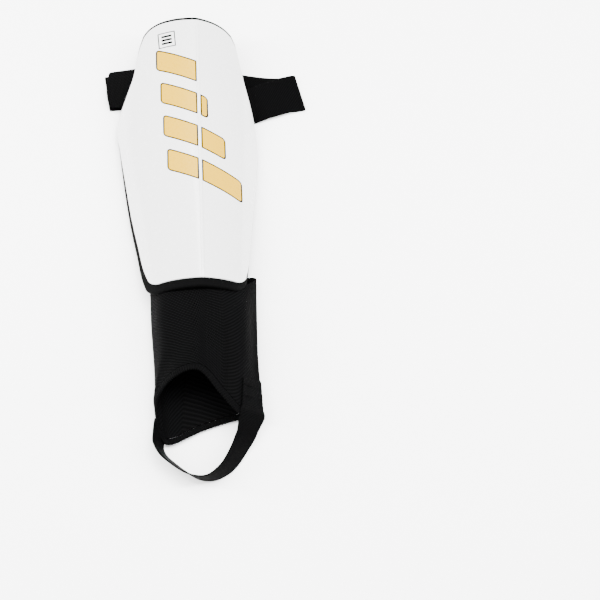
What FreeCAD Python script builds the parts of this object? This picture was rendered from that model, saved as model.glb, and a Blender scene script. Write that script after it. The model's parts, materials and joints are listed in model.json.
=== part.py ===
"""Shin guard: hard shell on a foam pad, with calf strap, knitted ankle sleeve and foot stirrup.

The guard lies on its back, front up. X runs across the shin towards its medial side, Y runs up
the shin towards the knee and Z is up off the floor. Y starts at the shell's lower edge, and the
whole part is moved at the end, so that its origin is the centre of its base. All in millimetres.
"""
import FreeCAD, Part
import math
import os

os.makedirs("parts", exist_ok=True)

# ---------------------------------------------------------------- driving dimensions
SHELL_LENGTH = 242.5        # lower edge to top
LATERAL_WIDTH = 65.0        # widest point to the shin's outer side, from the arch's zero line
MEDIAL_WIDTH = 57.0         # the same to the inner side
SHELL_WALL = 2.0
RIDGE_X = 7.0               # the shin ridge runs along this line
RIDGE_RISE = 1.6            # the ridge stands this far out of the plain arch
RIDGE_SPREAD = 11.0
END_FLARE = 3.0             # the ridge line bows up by this much at both ends
RIB_WIDTH = 2.2
RIB_HEIGHT = 0.6

PAD_THICKNESS = 5.0
LINER_THICKNESS = 0.8
PAD_MARGIN_BOTTOM = 7.0     # the pad shows past the shell by these
PAD_MARGIN_TOP = 4.0
PAD_MARGIN_MEDIAL = 1.8
PAD_MARGIN_LATERAL_LOW = 4.0
PAD_MARGIN_LATERAL_HIGH = 2.2

FILM = 0.12                 # printed film
BAR_HEIGHT = 18.0
BAR_PITCH = 31.0
TOP_BAR = 0.79              # height of the top bar at the ridge, as a share of the length
BAR_SLANT = 0.42            # rise over run of a bar's long sides
BAR_BORDER = 0.8
BAR_GAP = 2.4               # bare strip each side of the rib
BADGE_SIZE = 15.0

STRAP_THICKNESS = 1.4
STRAP_TAKEOFF = 28.5        # width along Y where the calf strap leaves the pad
STRAP_WIDTH_SHIFT = 4.0     # the sewn end is set this far down the shin, so that the strap fans out
STRAP_SEWN = 16.0           # the sewn end reaches this far in from the shell's medial edge
STRAP_SLACK = 0.8           # the strap is flat across, so it stands this far off the curved liner
FOLD_GAP = 0.4              # between the strap's two layers at its fold
FOLD_SKEW = 0.2             # the strap drops by this share of its way in from the fold
STRAP_CLEARANCE = 0.35      # between strap pieces that move apart
TAB_THICKNESS = 2.2
PILE = 1.0                  # hook tape and loop pile

KNIT = 1.2                  # sleeve fabric
EDGING_WIDTH = 5.0
EDGING_THICKNESS = 1.7
HEM_WIDTH = 6.0
STIRRUP_THICKNESS = 1.2
SLEEVE_HALF_WIDTH = 43.5
SLEEVE_LENGTH = 100.0       # lower edge of the pad to the tip of the ankle opening at the back

GLUE = 0.1                  # glue line, ink and stitching stand this far off what they sit on
SEWN_GAP = 0.35             # the stirrup's sewn ends stand this far off the stretchy sleeve
FOLD_CLEARANCE = 2.0        # between the pad and the moving sleeve
THREAD = 0.25               # thread radius


# ---------------------------------------------------------------- curves and sheets
def mix(a, b, t):
    """The point a fraction t of the way from a to b."""
    return tuple(p + (q - p) * t for p, q in zip(a, b))


def smooth_curve(points, closed=False, even=False):
    """Smooth curve through hand-set points, as a function of 0 to 1 along its length."""
    points = [tuple(p) for p in points]
    if closed:
        points = points + points[:1]
    last = len(points) - 1
    gaps = [1.0 if even else math.dist(a, b) for a, b in zip(points, points[1:])]
    knots = [sum(gaps[:i]) / sum(gaps) for i in range(last + 1)]

    def chord(i):
        return tuple((b - a) / (knots[i + 1] - knots[i]) for a, b in zip(points[i], points[i + 1]))

    def slope(i):
        if 0 < i < last:
            before, after = chord(i - 1), chord(i)
            share = (knots[i] - knots[i - 1]) / (knots[i + 1] - knots[i - 1])
        elif closed:
            before, after = chord(last - 1), chord(0)
            share = 0.5
        else:
            return chord(0) if i == 0 else chord(last - 1)
        return mix(before, after, share)

    slopes = [slope(i) for i in range(last + 1)]

    def at(t):
        t = t % 1.0 if closed else min(max(t, 0.0), 1.0)
        i = max(k for k in range(last) if knots[k] <= t)
        span = knots[i + 1] - knots[i]
        s = (t - knots[i]) / span
        weights = (2 * s**3 - 3 * s**2 + 1, 3 * s**2 - 2 * s**3)
        pulls = ((s**3 - 2 * s**2 + s) * span, (s**3 - s**2) * span)
        return tuple(weights[0] * a + weights[1] * b + pulls[0] * c + pulls[1] * d for a, b, c, d
                     in zip(points[i], points[i + 1], slopes[i], slopes[i + 1]))
    return at


def smooth_value(stations, x):
    """Smooth value at x through (x, value) stations, straight on past both ends."""
    last = len(stations) - 2
    i = max([k for k in range(last + 1) if stations[k][0] <= x] or [0])
    steps = [(b[1] - a[1]) / (b[0] - a[0]) for a, b in zip(stations, stations[1:])]
    (x0, y0), (x1, y1) = stations[i], stations[i + 1]
    left = steps[i] if i == 0 else (steps[i - 1] + steps[i]) / 2
    right = steps[i] if i == last else (steps[i] + steps[i + 1]) / 2
    if x < x0:
        return y0 + left * (x - x0)
    if x > x1:
        return y1 + right * (x - x1)
    span = x1 - x0
    s = (x - x0) / span
    return ((2 * s**3 - 3 * s**2 + 1) * y0 + (3 * s**2 - 2 * s**3) * y1
            + (s**3 - 2 * s**2 + s) * span * left + (s**3 - s**2) * span * right)


def unit(v):
    return v / v.Length


def steps(count):
    return [i / count for i in range(count + 1)]


SAME_WAY = 1                # both edges of a ruled side run the same way


def surface_through(rows):
    surface = Part.BSplineSurface()
    surface.interpolate(rows)
    return surface


def clamped(count, degree):
    """Knots and multiplicities of a clamped curve with evenly spaced spans."""
    spans = count - degree
    knots = [float(i) for i in range(spans + 1)]
    return knots, [degree + 1] + [1] * (spans - 1) + [degree + 1]


def surface_over(rows):
    """Cubic surface with the points as its control net, which never overshoots them."""
    surface = Part.BSplineSurface()
    u_knots, u_mults = clamped(len(rows), 3)
    v_knots, v_mults = clamped(len(rows[0]), 3)
    surface.buildFromPolesMultsKnots(rows, u_mults, v_mults, u_knots, v_knots, False, False, 3, 3)
    return surface


def end_curves(surface):
    """The four edges of a sheet: two across, then two along."""
    u0, u1, v0, v1 = surface.bounds()
    curves = (surface.uIso(u0), surface.uIso(u1), surface.vIso(v0), surface.vIso(v1))
    return [c.toShape() for c in curves]


def sew(faces):
    shell = Part.Shell(faces)
    shell.sewShape()
    solid = Part.Solid(shell)
    if solid.Volume < 0:
        solid.reverse()
    return solid


def sheet_solid(front, back, sheet=surface_through):
    """Closed solid between two grids of points of the same size."""
    tops, bottoms = sheet(front), sheet(back)
    faces = [tops.toShape(), bottoms.toShape()]
    for a, b in zip(end_curves(tops), end_curves(bottoms)):
        faces.append(Part.makeRuledSurface(a, b, SAME_WAY))
    return sew(faces)


def patch_solid(place, top, bottom, across=14, along=18, sheet=surface_through):
    """Sheet solid from place(u, v, depth), between two depths."""
    def grid(depth):
        return [[place(u, v, depth) for v in steps(along)] for u in steps(across)]
    return sheet_solid(grid(top), grid(bottom), sheet)


def ring_solid(place, outer, inner, around=72, along=10):
    """Tube wall from place(t, v, depth) with t once round, made of two halves."""
    faces = []
    half = around // 2
    for start in (0, half):
        sheets = []
        for depth in (outer, inner):
            sheets.append(surface_over(
                [[place((start + i) / around, v, depth) for v in steps(along)]
                 for i in range(half + 1)]))
        faces += [s.toShape() for s in sheets]
        for a, b in list(zip(end_curves(sheets[0]), end_curves(sheets[1])))[2:]:
            faces.append(Part.makeRuledSurface(a, b, SAME_WAY))
    return sew(faces)


def ribbon(low_edge, high_edge):
    """place(s, w, depth) on the sheet between two edge curves."""
    def middle(s, w):
        return FreeCAD.Vector(*mix(low_edge(s), high_edge(s), w))

    def place(s, w, depth):
        step = 0.002
        ahead, behind = middle(min(s + step, 1), w), middle(max(s - step, 0), w)
        face = unit((ahead - behind).cross(middle(s, 1) - middle(s, 0)))
        return middle(s, w) + face * depth
    return place


def webbing(place, thickness, along=40):
    """Webbing centred on a ribbon."""
    return patch_solid(place, thickness / 2, -thickness / 2, across=along, along=3,
                       sheet=surface_over)


def stitches(line, rows):
    """Stitch dashes along line(t), each a short thread, from start to end of every row."""
    dashes = []
    for start, end, count in rows:
        for i in range(count):
            a = line(start + (end - start) * (i + 0.15) / count)
            b = line(start + (end - start) * (i + 0.85) / count)
            dashes.append(Part.makeCylinder(THREAD, (b - a).Length, a, b - a))
    return dashes


# ---------------------------------------------------------------- the arched plate
SHELL_WIDTH = LATERAL_WIDTH + MEDIAL_WIDTH
# (height as a share of the length, half the arch's chord as a share of the width, edge slope)
ARCH = ((0.0, 0.32, 50.0), (0.3, 0.426, 60.0), (0.62, 0.5, 60.5), (1.0, 0.37, 43.0))
ARCH_CENTRES = ((0.0, 0.020), (0.3, -0.004), (0.62, -0.033), (1.0, -0.016))


def arch_drop(x, y):
    """How far the plain arch has dropped below its crown."""
    share = y / SHELL_LENGTH
    half = smooth_value([(s, h * SHELL_WIDTH) for s, h, a in ARCH], share)
    slope = math.radians(smooth_value([(s, a) for s, h, a in ARCH], share))
    centre = smooth_value([(s, c * SHELL_WIDTH) for s, c in ARCH_CENTRES], share)
    radius = half / math.sin(slope)
    reach = abs(x - centre)
    inside = min(reach, half)
    return radius - math.sqrt(radius**2 - inside**2) + math.tan(slope) * (reach - inside)


def plate_height(x, y):
    bow = END_FLARE * ((y / SHELL_LENGTH - 0.45) / 0.55) ** 2
    peak = RIDGE_RISE * math.exp(-(math.hypot(x - RIDGE_X, 2.0) - 2.0) / RIDGE_SPREAD)
    return bow + peak - arch_drop(x, y)


def arch(x, y, depth):
    """Point at a depth under the shell's front face, along its normal, with the crown near zero."""
    step = 0.05
    rise_x = (plate_height(x + step, y) - plate_height(x - step, y)) / (2 * step)
    rise_y = (plate_height(x, y + step) - plate_height(x, y - step)) / (2 * step)
    normal = unit(FreeCAD.Vector(-rise_x, -rise_y, 1))
    return FreeCAD.Vector(x, y, plate_height(x, y)) - normal * depth


# The outline's points are shares of the widths and of the length, from the lower edge up.
LATERAL_EDGE = ((-0.56, 0.0), (-0.655, 0.075), (-0.715, 0.155), (-0.81, 0.285), (-0.882, 0.412),
                (-0.96, 0.557), (-1.0, 0.647), (-0.946, 0.697), (-0.854, 0.755), (-0.763, 0.816),
                (-0.715, 0.874), (-0.682, 0.915), (-0.612, 0.962))
MEDIAL_EDGE = ((0.72, 0.0), (0.79, 0.07), (0.835, 0.165), (0.903, 0.293), (0.968, 0.43),
               (1.0, 0.536), (0.982, 0.635), (0.922, 0.713), (0.823, 0.804), (0.76, 0.878),
               (0.715, 0.926), (0.64, 0.96))
TOP_EDGE = ((-0.53, 0.983), (-0.428, 0.994), (-0.246, 1.001), (-0.05, 1.003), (0.21, 1.0),
            (0.43, 0.99), (0.552, 0.977))


def edge_point(share_x, share_y):
    width = LATERAL_WIDTH if share_x < 0 else MEDIAL_WIDTH
    return share_x * width, share_y * SHELL_LENGTH


def shell_outline():
    """Lower, upper, lateral and medial edges of the shell, each a curve of 0 to 1."""
    lateral = [edge_point(*p) for p in LATERAL_EDGE]
    medial = [edge_point(*p) for p in MEDIAL_EDGE]
    top = [lateral[-1]] + [edge_point(*p) for p in TOP_EDGE] + [medial[-1]]
    return tuple(smooth_curve(c) for c in ([lateral[0], medial[0]], top, lateral, medial))


def pad_outline():
    """The same four edges, grown by the pad's margins."""
    stretch = 1 + (PAD_MARGIN_BOTTOM + PAD_MARGIN_TOP) / SHELL_LENGTH
    top_share = LATERAL_EDGE[-1][1]

    def grown(share_x, share_y):
        x, y = edge_point(share_x, share_y)
        if share_x > 0:
            margin = PAD_MARGIN_MEDIAL
        else:
            high = min(max((share_y - 0.45) / 0.2, 0), 1)
            margin = PAD_MARGIN_LATERAL_LOW + (PAD_MARGIN_LATERAL_HIGH - PAD_MARGIN_LATERAL_LOW) * high
        sideways = min(max(abs(share_x) / 0.55, 0), 1) * (1 if share_y <= top_share else 0.8)
        return x + math.copysign(margin, share_x) * sideways, y * stretch - PAD_MARGIN_BOTTOM

    lateral = [grown(*p) for p in LATERAL_EDGE]
    medial = [grown(*p) for p in MEDIAL_EDGE]
    top = [lateral[-1]] + [grown(*p) for p in TOP_EDGE] + [medial[-1]]
    return tuple(smooth_curve(c) for c in ([lateral[0], medial[0]], top, lateral, medial))


def inside_outline(outline, u, v):
    """Point of the plate's plan, blended from the four edges."""
    bottom, top, lateral, medial = outline
    across = mix(bottom(u), top(u), v)
    along = mix(lateral(v), medial(v), u)
    corners = mix(mix(bottom(0), bottom(1), u), mix(top(0), top(1), u), v)
    return tuple(a + b - c for a, b, c in zip(across, along, corners))


def layer(outline, top, bottom):
    def place(u, v, depth):
        x, y = inside_outline(outline, u, v)
        return plate(x, y, depth)
    return patch_solid(place, top, bottom, across=26, along=36)


PAD_FRONT = SHELL_WALL + GLUE
PAD_BACK = PAD_FRONT + PAD_THICKNESS
LINER_FRONT = PAD_BACK + GLUE
LINER_BACK = LINER_FRONT + LINER_THICKNESS
SEWN_FRONT = LINER_BACK + GLUE

# The plate is lifted until the pad's lowest edge rests on the floor.
PLATE_LIFT = -min(arch(*side(v), LINER_BACK).z for side in pad_outline()[2:] for v in steps(200))


def plate(x, y, depth):
    """Point at a depth under the shell's front face, at its height over the floor."""
    return arch(x, y, depth) + FreeCAD.Vector(0, 0, PLATE_LIFT)


# ---------------------------------------------------------------- shell, pad and print
def make_shell():
    body = layer(shell_outline(), 0.0, SHELL_WALL)
    start, end = 0.012 * SHELL_LENGTH, 0.985 * SHELL_LENGTH

    def place(u, v, depth):
        return plate(RIDGE_X + RIB_WIDTH * (u - 0.5), start + (end - start) * v, depth)
    rib = patch_solid(place, -RIB_HEIGHT, SHELL_WALL / 2, across=4, along=30)
    return body.fuse(rib)


def bar_shapes():
    """The four slanted bars as (x from, x to, y at the ridge), longer towards the lower end."""
    lengths = (26.0, 38.0, 50.0, 60.0)
    centres = (-15.0, -5.5, 2.5, 10.5)
    return [(c - l / 2, c + l / 2, TOP_BAR * SHELL_LENGTH - BAR_PITCH * i)
            for i, (l, c) in enumerate(zip(lengths, centres))]


def bars(border, top):
    """One film patch per bar and side of the rib."""
    patches = []
    for left, right, height in bar_shapes():
        for x0, x1 in ((left, RIDGE_X - BAR_GAP), (RIDGE_X + BAR_GAP, right)):
            if x1 - x0 < 4 * BAR_BORDER:
                continue

            def place(u, v, depth, x0=x0 - border, x1=x1 + border, height=height):
                rise = (v - 0.5) * (BAR_HEIGHT + 2 * border)
                x = x0 + (x1 - x0) * u
                return plate(x, height - BAR_SLANT * (x - RIDGE_X) + rise, depth)
            patches.append(patch_solid(place, -top - FILM, -top, across=10, along=6))
    return patches


def badge():
    """Square frame with three plain bars in it, printed near the top on the lateral side."""
    centre_x, centre_y = -0.3 * LATERAL_WIDTH, 0.928 * SHELL_LENGTH
    line = 0.06 * BADGE_SIZE
    half = BADGE_SIZE / 2
    pieces = [(-half, half, half - line, half), (-half, half, -half, line - half),
              (-half, line - half, line - half + GLUE, half - line - GLUE),
              (half - line, half, line - half + GLUE, half - line - GLUE)]
    for row in (-1, 0, 1):
        pieces.append((-0.3 * BADGE_SIZE, 0.3 * BADGE_SIZE,
                       row * 3.4 - 1.0, row * 3.4 + 1.0))
    tilt = math.radians(4)
    solids = []
    for x0, x1, y0, y1 in pieces:
        def place(u, v, depth, x0=x0, x1=x1, y0=y0, y1=y1):
            a, b = x0 + (x1 - x0) * u, y0 + (y1 - y0) * v
            x = centre_x + a * math.cos(tilt) - b * math.sin(tilt)
            y = centre_y + a * math.sin(tilt) + b * math.cos(tilt)
            return plate(x, y, depth)
        solids.append(patch_solid(place, -GLUE / 2 - FILM, -GLUE / 2, across=4, along=4))
    return solids


# ---------------------------------------------------------------- sleeve cuff, on the pad's back
CUFF_FROM, CUFF_TO = -31.0, 39.0
CUFF_TOP = 18.0
CUFF_END_RAISE = 4.0        # the cuff's lower edge is higher at its ends, where the sleeve swings


def cuff(u, v, depth):
    low = -PAD_MARGIN_BOTTOM + 0.5 + CUFF_END_RAISE * (2 * u - 1) ** 2
    return plate(CUFF_FROM + (CUFF_TO - CUFF_FROM) * u, low + (CUFF_TOP - low) * v, depth)


# ---------------------------------------------------------------- ankle sleeve
# Every ring has twelve stations: medial side, over the front to the lateral side, and the back.
# x is a share of the sleeve's half width, from its middle line. y is in millimetres below the
# pad for the lower rings, stretched with the sleeve's length.
SLEEVE_MIDDLE = 6.5
PAD_LOW = -PAD_MARGIN_BOTTOM
HINGE_Y = PAD_LOW - FOLD_CLEARANCE
FRONT_Z = plate(RIDGE_X, PAD_LOW, SEWN_FRONT).z     # height of the sleeve's front at the pad

HEM_Y = 17.0                # the sleeve's back and sides reach this far up behind the pad
TOP_RING = ((1.01, 14.0, 8.6), (0.955, HINGE_Y, 15.5), (0.72, HINGE_Y, FRONT_Z - 9.5),
            (0.37, HINGE_Y, FRONT_Z - 2.6), (0.01, HINGE_Y, FRONT_Z - 0.3),
            (-0.42, HINGE_Y, FRONT_Z - 3.2), (-0.78, HINGE_Y, FRONT_Z - 10.5),
            (-0.985, HINGE_Y, 13.5), (-0.97, 9.0, 6.4), (-0.72, HEM_Y, 1.4),
            (0.0, HEM_Y, 0.7), (0.72, HEM_Y, 1.4))
UPPER_RING = ((1.0, 0.17, 10.5), (0.94, 0.17, 18.0), (0.75, 0.165, FRONT_Z - 8.2),
              (0.4, 0.16, FRONT_Z - 2.4), (-0.03, 0.16, FRONT_Z - 0.2),
              (-0.45, 0.16, FRONT_Z - 2.8), (-0.8, 0.165, FRONT_Z - 9.0), (-0.98, 0.17, 12.5),
              (-0.95, 0.18, 6.5), (-0.7, 0.18, 2.2), (0.0, 0.18, 0.7), (0.72, 0.18, 1.4))
LOWER_RING = ((0.99, 0.49, 12.0), (0.92, 0.48, 18.8), (0.72, 0.46, FRONT_Z - 7.4),
              (0.4, 0.44, FRONT_Z - 2.8), (-0.06, 0.42, FRONT_Z - 0.8),
              (-0.47, 0.44, FRONT_Z - 3.4), (-0.77, 0.47, FRONT_Z - 9.4), (-0.94, 0.5, 14.0),
              (-0.9, 0.52, 7.4), (-0.66, 0.52, 3.4), (-0.01, 0.51, 0.7), (0.68, 0.5, 1.4))
RIM_RING = ((1.06, 1.01, 9.5), (0.9, 1.02, 17.0), (0.585, 1.0, FRONT_Z - 10.2),
            (0.27, 0.86, FRONT_Z - 4.6), (-0.12, 0.67, FRONT_Z - 1.6),
            (-0.56, 0.715, FRONT_Z - 4.0), (-0.855, 0.815, 21.5), (-0.93, 0.94, 15.0),
            (-0.875, 1.10, 9.8), (-0.68, 1.185, 4.4), (-0.03, 1.065, 1.9), (0.63, 0.985, 1.9))


def top_station(share, y, z):
    return SLEEVE_MIDDLE + share * SLEEVE_HALF_WIDTH, y, z


def low_station(share, drop, z):
    return SLEEVE_MIDDLE + share * SLEEVE_HALF_WIDTH, HINGE_Y - drop * SLEEVE_LENGTH, z


def ring_curve(stations):
    return smooth_curve(stations, closed=True, even=True)


TOP_CURVE = ring_curve([top_station(*s) for s in TOP_RING])
UPPER_CURVE = ring_curve([low_station(*s) for s in UPPER_RING])
LOWER_CURVE = ring_curve([low_station(*s) for s in LOWER_RING])
RIM_CURVE = ring_curve([low_station(*s) for s in RIM_RING])


def rim_inset(t, inset):
    """Point of the sleeve at a distance up from the rim, measured square to the rim."""
    step = 0.004
    here, above = FreeCAD.Vector(*RIM_CURVE(t)), FreeCAD.Vector(*LOWER_CURVE(t))
    tangent = unit(FreeCAD.Vector(*RIM_CURVE(t + step)) - FreeCAD.Vector(*RIM_CURVE(t - step)))
    climb = above - here
    square = unit(climb - tangent * climb.dot(tangent))
    return here + square * inset


def tube_point(t, v):
    """Outer face of the sleeve: once round with t, from its top to the rim with v."""
    t = t - 0.21            # starts at the middle of the back
    seam = tuple(rim_inset(t, EDGING_WIDTH + GLUE))
    rings = [TOP_CURVE(t), UPPER_CURVE(t), LOWER_CURVE(t), seam]
    return FreeCAD.Vector(*smooth_curve(rings)(v))


def rim_point(t, v):
    return rim_inset(t - 0.21, EDGING_WIDTH * (1 - v))


def on_tube(surface, top=0.0, bottom=1.0):
    """place(t, v, depth) on a tube surface, between two shares of its length."""
    def place(t, v, depth):
        v = top + (bottom - top) * v
        step = 0.01
        turn = surface(t + step, v) - surface(t - step, v)
        outward = unit(FreeCAD.Vector(turn.z, 0, -turn.x))
        return surface(t, v) - outward * depth
    return place


def sleeve_patch(from_t, to_t, from_v, to_v):
    """place(u, v, depth) on part of the sleeve's outer face."""
    tube = on_tube(tube_point)

    def place(u, v, depth):
        return tube(from_t + (to_t - from_t) * u, from_v + (to_v - from_v) * v, depth)
    return place


# ---------------------------------------------------------------- stirrup
# Edge points of the loop from the medial to the lateral side: the edge on the floor, then the
# edge that stands up. x is from the sleeve's middle line, y from the tip of the ankle opening.
LOW_EDGE = ((43.9, -6.0, 13.0), (42.1, -12.0, 10.0), (38.5, -19.0, 7.5), (32.4, -27.7, 4.5),
            (25.0, -37.8, 2.2), (17.8, -44.4, 1.2), (6.5, -49.5, 0.8), (-5.6, -48.6, 0.7),
            (-16.5, -42.0, 0.7), (-26.3, -34.0, 0.8), (-32.5, -27.5, 0.8),
            (-34.5, -23.0, 0.8))
HIGH_EDGE = ((25.5, -6.5, 21.5), (24.5, -13.0, 20.5), (22.5, -18.5, 19.5), (19.0, -27.0, 19.5),
             (13.5, -37.0, 19.0), (8.0, -43.7, 19.2), (0.5, -49.3, 19.6), (-7.3, -50.3, 19.8),
             (-16.9, -47.4, 19.4), (-27.5, -40.3, 19.0), (-37.0, -31.5, 18.8),
             (-41.8, -24.0, 18.7))


def loop_edge(points):
    """Edge of the loop, moved down with the sleeve's length."""
    return smooth_curve([(SLEEVE_MIDDLE + x, PAD_LOW - SLEEVE_LENGTH + y, z) for x, y, z in points],
                        even=True)


# ---------------------------------------------------------------- calf strap
STRAP_LOW = 0.672 * SHELL_LENGTH        # lower edge of the strap where it leaves the pad
FOLD_Y = 0.732 * SHELL_LENGTH
FOLD_LOW = (MEDIAL_WIDTH + 43.0, FOLD_Y)        # the fold's two ends in plan
FOLD_HIGH = (MEDIAL_WIDTH + 35.0, FOLD_Y + 35.0)
FOLD_RADIUS = (FOLD_GAP + STRAP_THICKNESS) / 2
FOLD_Z = STRAP_THICKNESS + FOLD_GAP / 2
RUN_START = FOLD_RADIUS + STRAP_THICKNESS / 2 + STRAP_CLEARANCE + 0.4
STRAP_END_Y = FOLD_Y + 2.5
STRAP_END_LOW = (-LATERAL_WIDTH - 6.5, STRAP_END_Y)     # the free end's two corners in plan
STRAP_END_HIGH = (-LATERAL_WIDTH - 11.0, STRAP_END_Y + 34.5)
RUN_SWAY = 7.0                                  # the run bows up the shin by this much
HOOK_FROM, HOOK_TO = 0.875, 0.985               # the hook tape's ends, as shares of the run
HOOK_INSET = 2.5                                # the tape's side margin


def fold_point(plan, inset, z):
    """Point near the fold line, moved in by inset towards the guard."""
    return plan[0] - inset, plan[1] - FOLD_SKEW * inset, z


def strap_edge(share):
    """Low (0) or high (1) edge of the layer sewn to the pad, round its fold."""
    medial = shell_outline()[3]
    y = STRAP_LOW + share * STRAP_TAKEOFF
    x = edge_x(medial, y)
    depth = SEWN_FRONT + STRAP_SLACK + STRAP_THICKNESS / 2
    sewn = tuple(plate(x - STRAP_SEWN, y - STRAP_WIDTH_SHIFT, depth))
    leaving = tuple(plate(x - 1, y - 1, depth))
    past_pad = tuple(plate(x + PAD_MARGIN_MEDIAL + 0.5, y - 0.5, depth + 0.4))
    plan = mix(FOLD_LOW, FOLD_HIGH, share)
    landing = fold_point(plan, 10 * FOLD_RADIUS, FOLD_Z + FOLD_RADIUS + FOLD_GAP)
    path = [sewn, mix(sewn, leaving, 0.5), leaving, past_pad, mix(past_pad, landing, 0.5), landing]
    for step in range(5):
        turn = math.pi * step / 4
        path.append(fold_point(plan, -FOLD_RADIUS * math.sin(turn),
                               FOLD_Z + FOLD_RADIUS * math.cos(turn)))
    return smooth_curve(path)


def run_edge(share):
    """Low or high edge of the return run, in plan, from the fold to the free end."""
    begin = fold_point(mix(FOLD_LOW, FOLD_HIGH, share), RUN_START, 0)[:2]
    end = mix(STRAP_END_LOW, STRAP_END_HIGH, share)
    middle_x, middle_y = mix(begin, end, 0.42)
    return smooth_curve([begin, (middle_x, middle_y + RUN_SWAY - 1.5 * share), end])


def flat_strip(low, high, bottom, top, start=0.0, end=1.0, inset=0.0):
    """Strip that lies flat between two plan curves, from one height to another."""
    def corner(s, w):
        inset_share = inset / math.dist(low(s), high(s))
        x, y = mix(low(s), high(s), inset_share + w * (1 - 2 * inset_share))
        return FreeCAD.Vector(x, y, bottom)
    edges = [Part.makeLine(corner(s, 0), corner(s, 1)) for s in (start, end)]
    for w in (0, 1):
        side = Part.BSplineCurve()
        side.interpolate([corner(start + (end - start) * step, w) for step in steps(20)])
        edges.append(side.toShape())
    face = Part.Face(Part.Wire(Part.sortEdges(edges)[0]))
    return face.extrude(FreeCAD.Vector(0, 0, top - bottom))


# ---------------------------------------------------------------- closure tab
TAB_LOW = 0.735 * SHELL_LENGTH
TAB_WIDTH = 33.2
TAB_FREE_X = STRAP_END_LOW[0]
TAB_BULGE = 2.4             # the free end's edge is bowed out by this
TAB_SEWN = 15.0             # the tab's sewn end reaches this far under the pad
FREE_TAB_Z = (STRAP_THICKNESS + 2 * PILE + 2 * GLUE + 2 * THREAD + STRAP_CLEARANCE
              + TAB_THICKNESS / 2 + 0.3)


def edge_x(edge, y):
    """x of an outline's side edge at height y."""
    low, high = 0.0, 1.0
    for _ in range(40):
        middle = (low + high) / 2
        low, high = (middle, high) if edge(middle)[1] < y else (low, middle)
    return edge(low)[0]


def tab_base(u, v, depth):
    """The tab's sewn end, flat against the liner, from the pad's lateral edge inwards."""
    y = TAB_LOW + TAB_WIDTH * v
    return plate(edge_x(pad_outline()[2], y) + 1.0 + TAB_SEWN * u, y, SEWN_FRONT + depth)


def tab_place(inner, outer):
    """place(u, v, depth) from the pad's lateral edge (u = 0) to the tab's free end (u = 1)."""
    def edge(v):
        y = TAB_LOW + TAB_WIDTH * v
        return plate(edge_x(pad_outline()[2], y), y, SEWN_FRONT + TAB_THICKNESS / 2)

    def place(u, v, depth):
        start = edge(v)
        free = FreeCAD.Vector(TAB_FREE_X - TAB_BULGE * math.sin(math.pi * v),
                              start.y + 3.0 + 1.5 * v,
                              FREE_TAB_Z)
        along = inner + (outer - inner) * u
        at = start + (free - start) * along
        face = unit((free - start).cross(edge(1) - edge(0)))
        if face.z < 0:
            face = -face
        return at + face * depth
    return place


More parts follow.
